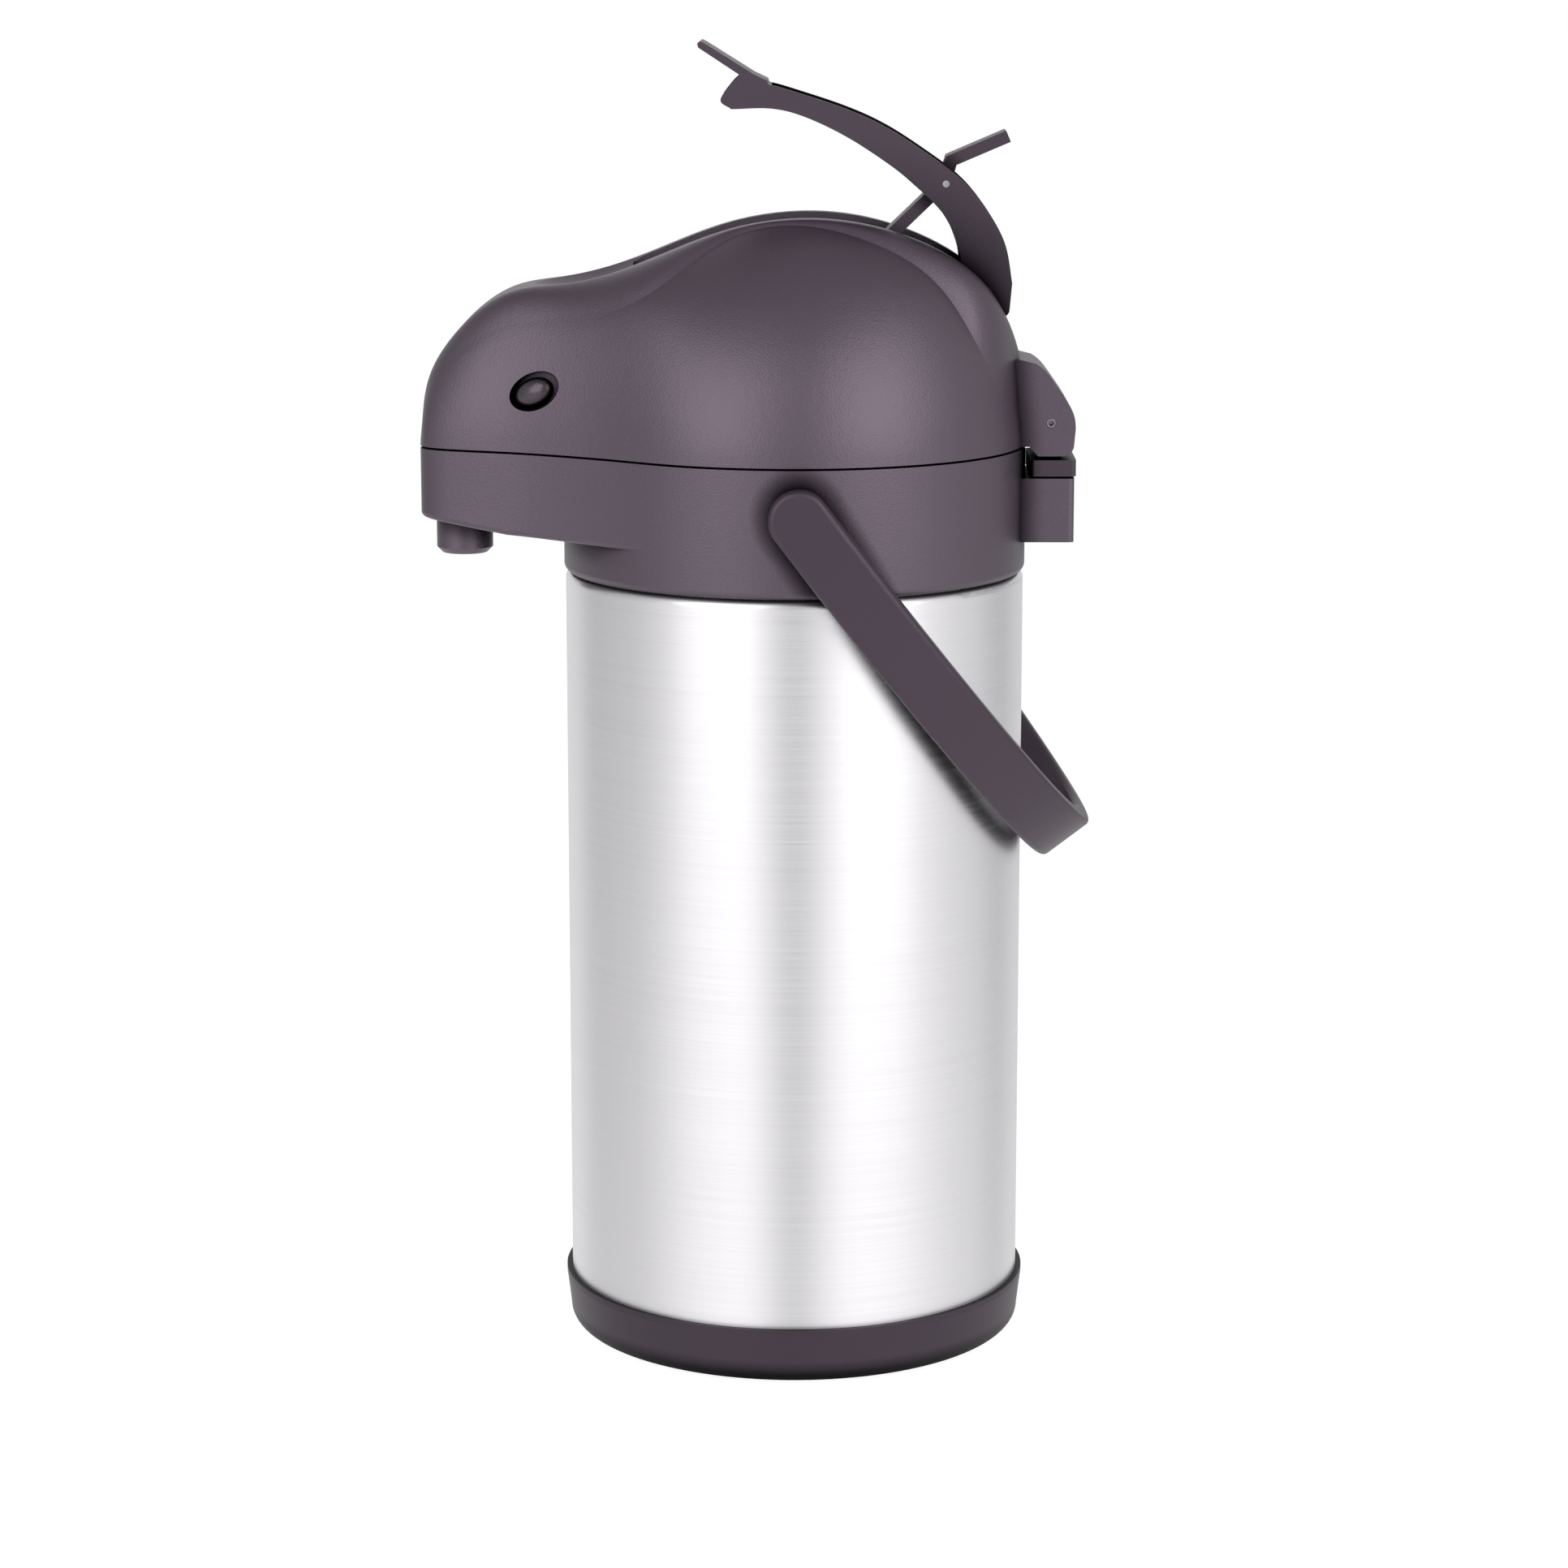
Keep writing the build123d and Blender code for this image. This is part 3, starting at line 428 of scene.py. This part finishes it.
def plate(name: str, outline: Sequence[Spot], half_width: float) -> Piece:
    """Makes a closed plate that stands in the XZ plane.

    Args:
        name: The piece's name.
        outline: Its corners in millimetres.
        half_width: Half of its thickness along Y, in millimetres.

    Returns:
        The new piece, in the scene.
    """
    shape = bmesh.new()
    face = shape.faces.new([shape.verts.new((x * MM, half_width * MM, z * MM)) for x, z in outline])
    grown = bmesh.ops.extrude_face_region(shape, geom=[face])["geom"]
    moved = [item for item in grown if isinstance(item, bmesh.types.BMVert)]
    bmesh.ops.translate(shape, vec=(0, -2 * half_width * MM, 0), verts=moved)
    bmesh.ops.recalc_face_normals(shape, faces=shape.faces[:])
    return place(name, shape)


def place(name: str, shape: bmesh.types.BMesh) -> Piece:
    """Turns a finished bmesh into a piece in the scene."""
    mesh = bpy.data.meshes.new(name)
    shape.to_mesh(mesh)
    shape.free()
    piece = bpy.data.objects.new(name, mesh)
    bpy.context.scene.collection.objects.link(piece)
    return piece


def settle(piece: Piece) -> None:
    """Applies a piece's modifiers to its mesh."""
    settled = piece.evaluated_get(bpy.context.evaluated_depsgraph_get())
    mesh = bpy.data.meshes.new_from_object(settled)
    piece.modifiers.clear()
    piece.data = mesh


class Carving(Enum):
    """What a tool's shape does to a piece."""

    CUT = "DIFFERENCE"
    JOIN = "UNION"


def carve(piece: Piece, tools: list[Piece], carving: Carving = Carving.CUT) -> None:
    """Cuts the tools' shapes out of a piece, or joins them to it, and deletes the tools."""
    for tool in tools:
        change = piece.modifiers.new("carving", "BOOLEAN")
        change.operation = carving.value
        change.solver = "EXACT"
        change.object = tool
    settle(piece)
    for tool in tools:
        bpy.data.objects.remove(tool)


def shade_smooth(piece: Piece) -> None:
    """Shades every face of a piece smooth."""
    piece.data.polygons.foreach_set("use_smooth", [True] * len(piece.data.polygons))


def soften(piece: Piece, width: float, segments: int = 2, crease: float = 35.0) -> None:
    """Rounds a piece's sharp edges and shades it smooth.

    Args:
        piece: The piece.
        width: Width of the rounding, in millimetres.
        segments: Faces across the rounding.
        crease: The least angle of a sharp edge, in degrees.
    """
    rounding = piece.modifiers.new("rounding", "BEVEL")
    rounding.width = width * MM
    rounding.segments = segments
    rounding.limit_method = "ANGLE"
    rounding.angle_limit = math.radians(crease)
    rounding.harden_normals = True
    shade_smooth(piece)
    settle(piece)


def stand_in(piece: Piece, material: Material, node: str, body: str) -> None:
    """Puts a finished piece in a node's place.

    Args:
        piece: The new piece.
        material: What it is made of.
        node: The CAD node that it stands for.
        body: The body that it moves with.
    """
    piece.data.materials.append(material)
    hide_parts(node)
    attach(piece, body)
    LOG.info("%s stands for %s and has %d faces", piece.name, node, len(piece.data.polygons))


@dataclass(frozen=True)
class Lever:
    """The pump lever: a curved channel, open along its back, with a finger plate at its front end.

    Lengths and places are in millimetres, and the places are in the XZ plane.
    """

    pivot: Spot = (66.5, 377.6)
    link: Spot = (52.7, 415.0)
    half_width: float = 16.5
    wall: float = 2.6
    pivot_hole: float = 2.55
    link_hole: float = 1.25
    link_room: float = 12.5
    round_over: float = 0.45
    heel_centre: Spot = (66.5, 377.4)
    heel_radius: float = 8.5
    corner_centre: Spot = (72.6, 371.5)
    corner_radius: float = 2.6
    belly: tuple[Spot, ...] = ((-21.8, 440.6), (-8.0, 440.8), (3.5, 438.0), (18.0, 431.2), (32.4, 422.0),
                               (41.2, 415.0), (51.6, 404.8), (57.2, 393.0), (58.3, 384.0), (58.0, 377.4))
    back: tuple[Spot, ...] = ((76.0, 380.6), (74.1, 391.9), (71.0, 399.6), (65.3, 408.4), (57.8, 416.7),
                              (47.0, 424.8), (32.4, 434.1), (17.8, 440.7), (-2.4, 447.3), (-8.9, 449.0))
    finger_plate: tuple[Spot, ...] = ((-9.4, 450.4), (-14.1, 452.6), (-31.2, 463.2), (-32.6, 463.8),
                                      (-33.6, 463.0), (-33.2, 461.6), (-18.8, 452.2))
    front_hook: tuple[Spot, ...] = ((-18.8, 452.2), (-22.2, 448.9), (-25.6, 443.6), (-21.8, 440.6))
    trough: tuple[Spot, ...] = ((-7.8, 443.2), (4.4, 440.3), (19.3, 433.4), (33.9, 424.1), (42.9, 416.9),
                                (53.6, 406.4))
    trough_sky: tuple[Spot, ...] = ((57.0, 412.0), (60.0, 440.0), (20.0, 470.0), (-8.4, 460.0))
    mouth: tuple[Spot, ...] = ((-28.0, 454.4), (-18.9, 451.6), (-11.5, 447.4), (-11.5, 443.6), (-23.0, 443.4),
                               (-28.0, 440.0))
    prong_window: tuple[Spot, ...] = ((33.5, 412.5), (42.5, 412.5), (42.5, 420.5), (33.5, 420.5))

    def make(self, material: Material) -> Piece:
        """Builds the lever in place of its node.

        Args:
            material: What it is moulded in.

        Returns:
            The finished piece.
        """
        lever = plate("lever_moulding", self.outline(), self.half_width)
        inside = self.half_width - self.wall
        through = self.half_width + CUT_MARGIN
        carve(lever, [
            plate("channel_tool", [*flow(self.trough), *self.trough_sky], inside),
            plate("mouth_tool", self.mouth, inside),
            plate("window_tool", self.prong_window, inside),
            plate("link_tool", ring(self.link, self.link_room, HUB_SIDES), inside),
            plate("pivot_tool", ring(self.pivot, self.pivot_hole, PIN_SIDES), through),
            plate("link_pin_tool", ring(self.link, self.link_hole, PIN_SIDES), through),
        ])
        soften(lever, self.round_over)
        stand_in(lever, material, "lever", "pump_lever")
        return lever

    def outline(self) -> list[Spot]:
        """Lays the outline: belly, round heel, back, finger plate and hook."""
        heel = arc(self.heel_centre, self.heel_radius, 180, 270)
        corner = arc(self.corner_centre, self.corner_radius, 270, 360, steps=4)
        return [*flow(self.belly), *heel[1:], *corner, *flow(self.back), *self.finger_plate,
                *flow(self.front_hook)[1:-1]]


@dataclass(frozen=True)
class Link:
    """The folding link: a flat prong down to the pump plate and a bent thumb tab, about one hub.

    Lengths and places are in millimetres, and the places are in the XZ plane.
    """

    hub: Spot = (52.7, 415.0)
    hub_radius: float = 4.2
    pin_hole: float = 1.25
    half_width: float = 8.0
    thickness: float = 4.2
    route: tuple[Spot, ...] = ((21.4, 385.0), (52.7, 415.0), (54.8, 422.6), (74.6, 431.0))
    round_over: float = 0.5

    def make(self, material: Material) -> Piece:
        """Builds the link in place of its node.

        Args:
            material: What it is moulded in.

        Returns:
            The finished piece.
        """
        link = plate("link_moulding", self.bar(), self.half_width)
        hub = plate("hub_tool", ring(self.hub, self.hub_radius, HUB_SIDES), self.half_width)
        carve(link, [hub], Carving.JOIN)
        hole = plate("pin_tool", ring(self.hub, self.pin_hole, PIN_SIDES), self.half_width + CUT_MARGIN)
        carve(link, [hole])
        soften(link, self.round_over)
        stand_in(link, material, "push_link", "link")
        return link

    def bar(self) -> list[Spot]:
        """Lays the outline of a bent bar along the route, with mitred corners and square ends."""
        spots = [Vector(spot) for spot in self.route]
        runs = [(end - start).normalized() for start, end in zip(spots, spots[1:])]
        near, far = [], []
        for spot, before, after in zip(spots, [runs[0], *runs], [*runs, runs[-1]]):
            mitre = (before + after).normalized()
            side = Vector((-mitre.y, mitre.x)) * self.thickness / 2 / mitre.dot(before)
            near.append(tuple(spot + side))
            far.append(tuple(spot - side))
        return [*near, *reversed(far)]


@dataclass(frozen=True)
class SoftSleeve:
    """A soft sleeve under the pump plate, one fixed shape a little shorter than its node.

    The share of its height that it keeps at the end of the stroke is not used. The play is in millimetres.
    """

    node: str
    slot: str
    keep: float = 0.27
    play: float = 0.3

    def make(self, frame: dict, material: Material) -> Piece:
        """Builds the sleeve in place of its node, with a little play under the plate.

        Args:
            material: What it is made of.

        Returns:
            The finished piece.
        """
        low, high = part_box(self.node)
        shape = bmesh.new()
        shape.from_mesh(frame["nodes"][self.node].data)
        bmesh.ops.remove_doubles(shape, verts=shape.verts[:], dist=SAME_SPOT)
        share = 1 - self.play * MM / (high.z - low.z)
        from_below = Matrix.Translation((0, 0, -low.z))
        bmesh.ops.scale(shape, vec=(1, 1, share), space=from_below, verts=shape.verts[:])
        sleeve = place(self.node + "_soft", shape)
        stand_in(sleeve, material, self.node, "lid")
        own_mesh(sleeve)
        return sleeve


class Side(Enum):
    """The two sides of the nose, with the sign of Y on each."""

    LEFT = -1
    RIGHT = 1


@dataclass(frozen=True)
class ReleaseButton:
    """An oval push button with a domed face, a straight stem and a flange that holds it in the lid.

    Lengths are in millimetres and angles in degrees. Crown, rim, shoulder and foot are heights along the
    stem, and the flange is a share of the oval.
    """

    side: Side
    centre: Point = (-90.0, 37.5, 345.0)
    slope: float = 26.6
    tilt: float = 20.0
    shift: float = -1.3
    drop: float = 0.8
    half_length: float = 7.5
    half_height: float = 4.7
    crown: float = 1.0
    rim: float = -2.6
    shoulder: float = -9.5
    foot: float = -11.0
    flange: float = 1.25
    rings: int = 10
    sides: int = 64
    crease: float = 40.0

    def make(self, material: Material) -> Piece:
        """Builds the button in place of its node.

        Args:
            material: What it is moulded in.

        Returns:
            The finished piece.
        """
        word = self.side.name.lower()
        shape = bmesh.new()
        corners = [shape.verts.new((across, 0, height * MM)) for across, height in self.profile()]
        edges = [shape.edges.new(pair) for pair in zip(corners, corners[1:])]
        bmesh.ops.spin(shape, geom=[*corners, *edges], cent=(0, 0, 0), axis=(0, 0, 1), angle=2 * math.pi,
                       steps=self.sides, use_merge=True)
        bmesh.ops.remove_doubles(shape, verts=shape.verts[:], dist=SAME_SPOT)
        bmesh.ops.scale(shape, vec=(self.half_length * MM, self.half_height * MM, 1), verts=shape.verts[:])
        bmesh.ops.transform(shape, matrix=self.seat(), verts=shape.verts[:])
        bmesh.ops.recalc_face_normals(shape, faces=shape.faces[:])
        button = place(f"button_cap_{word}", shape)
        shade_smooth(button)
        button.data.set_sharp_from_angle(angle=math.radians(self.crease))
        stand_in(button, material, f"release_button_{word}", f"button_{word}")
        return button

    def profile(self) -> list[Spot]:
        """Lays half the section: the share of the half length, and the height in millimetres."""
        quarter = [math.pi / 2 * step / self.rings for step in range(self.rings + 1)]
        rise = self.crown - self.rim
        dome = [(math.sin(turn), self.rim + rise * math.cos(turn)) for turn in quarter]
        flange = [(self.flange, self.shoulder), (self.flange, self.foot), (0.0, self.foot)]
        return [*dome, (1.0, self.shoulder), *flange]

    def seat(self) -> Matrix:
        """Works out the button's place on the nose."""
        sign = self.side.value
        slope = math.radians(self.slope)
        along = Vector((math.cos(slope), sign * math.sin(slope), 0))
        out = Vector((-math.sin(slope), sign * math.cos(slope), 0))
        up = out.cross(along)
        turned = Matrix.Rotation(math.radians(-sign * self.tilt), 4, "Z")
        spot = Vector((self.centre[0], sign * self.centre[1], self.centre[2]))
        spot += along * self.shift + up * sign * self.drop
        axes = Matrix((along, up, out)).transposed().to_4x4()
        return Matrix.Translation(spot * MM) @ axes @ turned


@dataclass(frozen=True)
class RollPin:
    """A hollow pin rolled from sheet, with a bore and a rounded rim at each end, in millimetres."""

    node: str
    body: str
    bore_share: float = 0.52
    bore_depth: float = 3.0
    rim: float = 0.25
    sides: int = 40

    def make(self, material: Material) -> Piece:
        """Builds the pin in place of its node.

        Args:
            material: Its metal.

        Returns:
            The finished piece.
        """
        low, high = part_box(self.node)
        radius = (high.x - low.x) / 2
        shape = bmesh.new()
        turned = Matrix.Translation((low + high) / 2) @ Matrix.Rotation(math.pi / 2, 4, "X")
        bmesh.ops.create_cone(shape, cap_ends=True, segments=self.sides, radius1=radius, radius2=radius,
                              depth=high.y - low.y, matrix=turned)
        ends = [face for face in shape.faces if len(face.verts) == self.sides]
        bmesh.ops.inset_individual(shape, faces=ends, thickness=radius * (1 - self.bore_share))
        for end in ends:
            inward = -end.normal * self.bore_depth * MM
            floor = bmesh.ops.extrude_discrete_faces(shape, faces=[end])["faces"][0]
            bmesh.ops.translate(shape, vec=inward, verts=floor.verts[:])
        bmesh.ops.recalc_face_normals(shape, faces=shape.faces[:])
        pin = place(self.node + "_rolled", shape)
        soften(pin, self.rim)
        stand_in(pin, material, self.node, self.body)
        return pin


@dataclass
class Dressing:
    """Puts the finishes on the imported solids."""

    materials: dict[str, Material]
    own_slots: dict[str, str] = field(default_factory=lambda: {
        "bail_handle": "handle_plastic", "bail_pins": "handle_plastic", "lever_pin": "plastic",
        "hinge_plate": "handle_plastic",
    })

    def dress(self, frame: dict) -> None:
        """Gives each node the material of its slot.
        """
        for part in frame["record"]["subparts"]:
            node = frame["nodes"][part["node"]]
            slot = self.own_slots.get(part["node"], part["material_slot"])
            material = self.materials[slot]
            node.data.materials.clear()
            node.data.materials.append(material)
            LOG.info("%s wears %s", part["node"], material.name)


# The set

@dataclass(frozen=True)
class Camera:
    """The viewpoint of the photograph, with the eye in metres and its angles in degrees."""

    lens: float = 97.32
    sensor: float = 36.0
    nearest: float = 0.05
    eye: Point = (0.0068, -1.5, 0.4992)
    pitch: float = 11.306
    turn: float = 0.4005

    def make(self) -> None:
        """Sets up the camera."""
        data = bpy.data.cameras.new("camera")
        data.sensor_width = self.sensor
        data.lens = self.lens
        data.clip_start = self.nearest
        camera = bpy.data.objects.new("camera", data)
        camera.location = self.eye
        camera.rotation_euler = (math.radians(90 - self.pitch), 0, math.radians(self.turn))
        bpy.context.scene.collection.objects.link(camera)
        bpy.context.scene.camera = camera


@dataclass(frozen=True)
class Floor:
    """A plain pale floor that shows white, with the airpot's soft shadow, and that metal doesn't mirror."""

    size: float = 30.0
    colour: float = 0.85
    roughness: float = 0.9
    glow: float = 0.93
    shade: float = 0.34

    def make(self) -> None:
        """Lays the floor."""
        bpy.ops.mesh.primitive_plane_add(size=self.size, location=(0, 0, 0))
        floor = bpy.context.object
        floor.name = "floor"
        sheet = MaterialSheet("floor_paper", {"Base Color": grey(self.colour), "Roughness": self.roughness})
        shade = sheet.add("ShaderNodeBsdfDiffuse", {"Color": grey(self.shade)})
        glow = sheet.add("ShaderNodeEmission", {"Strength": self.glow})
        lit = sheet.add("ShaderNodeAddShader")
        sheet.join(shade, 0, lit, 0)
        sheet.join(glow, 0, lit, 1)
        path = sheet.add("ShaderNodeLightPath")
        white = sheet.mix(sheet.seen(path), 0, sheet.shader, lit)
        clear = sheet.add("ShaderNodeBsdfTransparent")
        sheet.join(sheet.mix(path, "Is Glossy Ray", white, clear), 0, sheet.output, "Surface")
        floor.data.materials.append(sheet.material)
        floor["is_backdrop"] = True


@dataclass(frozen=True)
class SoftBox:
    """One soft rectangular lamp beside the camera, turned in degrees from it."""

    name: str
    azimuth: float
    watts: float
    size: Spot = (1.7, 2.5)
    distance: float = 2.1
    height: float = 1.35
    aim_height: float = 0.28

    def make(self) -> None:
        """Hangs the lamp, facing the middle of the airpot."""
        data = bpy.data.lights.new(self.name, "AREA")
        data.shape = "RECTANGLE"
        data.size, data.size_y = self.size
        data.energy = self.watts
        lamp = bpy.data.objects.new(self.name, data)
        angle = math.radians(self.azimuth)
        lamp.location = (self.distance * math.sin(angle), -self.distance * math.cos(angle), self.height)
        aim = Vector((0, 0, self.aim_height))
        lamp.rotation_euler = (aim - lamp.location).to_track_quat("-Z", "Y").to_euler()
        bpy.context.scene.collection.objects.link(lamp)


@dataclass(frozen=True)
class Panel:
    """One direction round the room, in degrees from the camera, and how bright metal shows it."""

    azimuth: float
    level: float


@dataclass(frozen=True)
class Fade:
    """A smooth change of a value between two heights, each given as the sine of an elevation."""

    low: float
    high: float
    start: float
    end: float

    def make(self, sheet: NodeSheet, direction: Node) -> Node:
        """Adds the faded value.

        Args:
            sheet: The world's nodes.
            direction: The node that gives a direction's X, Y and Z.

        Returns:
            The node with the value.
        """
        fade = sheet.add("ShaderNodeMapRange", {
            "From Min": self.low, "From Max": self.high, "To Min": self.start, "To Max": self.end,
        }, interpolation_type="SMOOTHSTEP")
        sheet.join(direction, "Z", fade, "Value")
        return fade


@dataclass(frozen=True)
class Room:
    """A white room round the set, whose panels and dark gaps only metal and gloss show."""

    light: float = 0.40
    light_fade: Fade = Fade(0.1, 0.9, 1.0, 0.45)
    ceiling_fade: Fade = Fade(0.35, 0.95, 1.0, 0.55)
    paper_fade: Fade = Fade(-0.42, -0.12, 0.65, 0.0)
    panels: tuple[Panel, ...] = (
        Panel(-180.0, 0.85), Panel(-145.0, 0.70), Panel(-118.0, 0.44), Panel(-90.0, 0.50), Panel(-60.0, 0.76),
        Panel(-20.0, 1.0), Panel(0.0, 0.45), Panel(22.0, 1.0), Panel(68.0, 0.86), Panel(96.0, 0.66),
        Panel(126.0, 0.44), Panel(150.0, 0.62), Panel(180.0, 0.85),
    )

    def make(self) -> None:
        """Builds the room as the scene's world."""
        world = bpy.data.worlds.new("room")
        bpy.context.scene.world = world
        world.use_nodes = True
        sheet = NodeSheet(world.node_tree)
        coordinates = sheet.add("ShaderNodeTexCoord")
        direction = sheet.add("ShaderNodeSeparateXYZ")
        sheet.join(coordinates, "Generated", direction, 0)
        lit = sheet.add("ShaderNodeBackground", {"Strength": self.light})
        sheet.join(self.light_fade.make(sheet, direction), 0, lit, "Color")
        mirrored = sheet.add("ShaderNodeBackground")
        sheet.join(self.mirrored_walls(sheet, direction), 0, mirrored, "Color")
        white = sheet.add("ShaderNodeBackground", {"Color": grey(1)})
        path = sheet.add("ShaderNodeLightPath")
        glossy = sheet.mix(path, "Is Glossy Ray", lit, mirrored)
        output = sheet.add("ShaderNodeOutputWorld")
        sheet.join(sheet.mix(sheet.seen(path), 0, glossy, white), 0, output, "Surface")

    def mirrored_walls(self, sheet: NodeSheet, direction: Node) -> Node:
        """Adds the room that metal shows: panels round the walls, white near the floor and a dim ceiling.

        Args:
            sheet: The world's nodes.
            direction: The node that gives a direction's X, Y and Z.

        Returns:
            The node with the room's brightness.
        """
        back = sheet.add("ShaderNodeMath", {1: -1.0}, operation="MULTIPLY")
        sheet.join(direction, "Y", back, 0)
        turn = sheet.add("ShaderNodeMath", operation="ARCTAN2")
        sheet.join(direction, "X", turn, 0)
        sheet.join(back, 0, turn, 1)
        share = sheet.add("ShaderNodeMapRange", {"From Min": -math.pi, "From Max": math.pi})
        sheet.join(turn, 0, share, "Value")
        walls = sheet.add("ShaderNodeValToRGB")
        walls.color_ramp.interpolation = "EASE"
        stops = walls.color_ramp.elements
        for panel in self.panels[1:-1]:
            stops.new((panel.azimuth + 180) / 360)
        for stop, panel in zip(stops, self.panels):
            stop.color = grey(panel.level)
        sheet.join(share, 0, walls, "Fac")
        low_walls = sheet.add("ShaderNodeMix", {"B": 1.0})
        sheet.join(self.paper_fade.make(sheet, direction), 0, low_walls, "Factor")
        sheet.join(walls, "Color", low_walls, "A")
        product = sheet.add("ShaderNodeMath", operation="MULTIPLY")
        sheet.join(low_walls, "Result", product, 0)
        sheet.join(self.ceiling_fade.make(sheet, direction), 0, product, 1)
        return product


@dataclass(frozen=True)
class Studio:
    """The camera of the photograph, a pale floor, two soft boxes and the room."""

    camera: Camera = Camera()
    floor: Floor = Floor()
    lamps: tuple[SoftBox, ...] = (SoftBox("left_box", -39.0, 15.0), SoftBox("right_box", 43.0, 17.0))
    room: Room = Room()

    def make(self) -> None:
        """Builds the whole set."""
        for item in (self.camera, self.floor, *self.lamps, self.room):
            item.make()
        bpy.context.scene.view_settings.view_transform = "Standard"


def write_size(stage: str, sizes: dict[str, list[list[float]]]) -> None:
    """Args:
        stage: The word that the box is kept under.
        sizes: The boxes kept so far, which it adds to.
    """
    low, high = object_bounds()
    sizes[stage] = [list(low), list(high)]


def main() -> None:
    """Builds the whole scene."""
    logging.basicConfig(level=logging.INFO, format="%(name)s: %(message)s")
    sizes: dict[str, list[list[float]]] = {}
    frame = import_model()
    write_size("frame", sizes)
    Studio().make()
    materials = Finishes().make()
    Dressing(materials).dress(frame)
    pieces = [
        Lever().make(materials["lever_plastic"]),
        Link().make(materials["handle_plastic"]),
        SoftSleeve("bellows", "bellows_rubber").make(frame, materials["bellows_rubber"]),
        SoftSleeve("return_spring", "pin_metal").make(frame, materials["pin_metal"]),
        *(ReleaseButton(side).make(materials["button_plastic"]) for side in Side),
        RollPin("hinge_pin", "body").make(materials["dark_pin"]),
    ]
    LOG.info("%d pieces stand for CAD nodes", len(pieces))
    write_size("dressed", sizes)


if __name__ == "__main__":
    main()
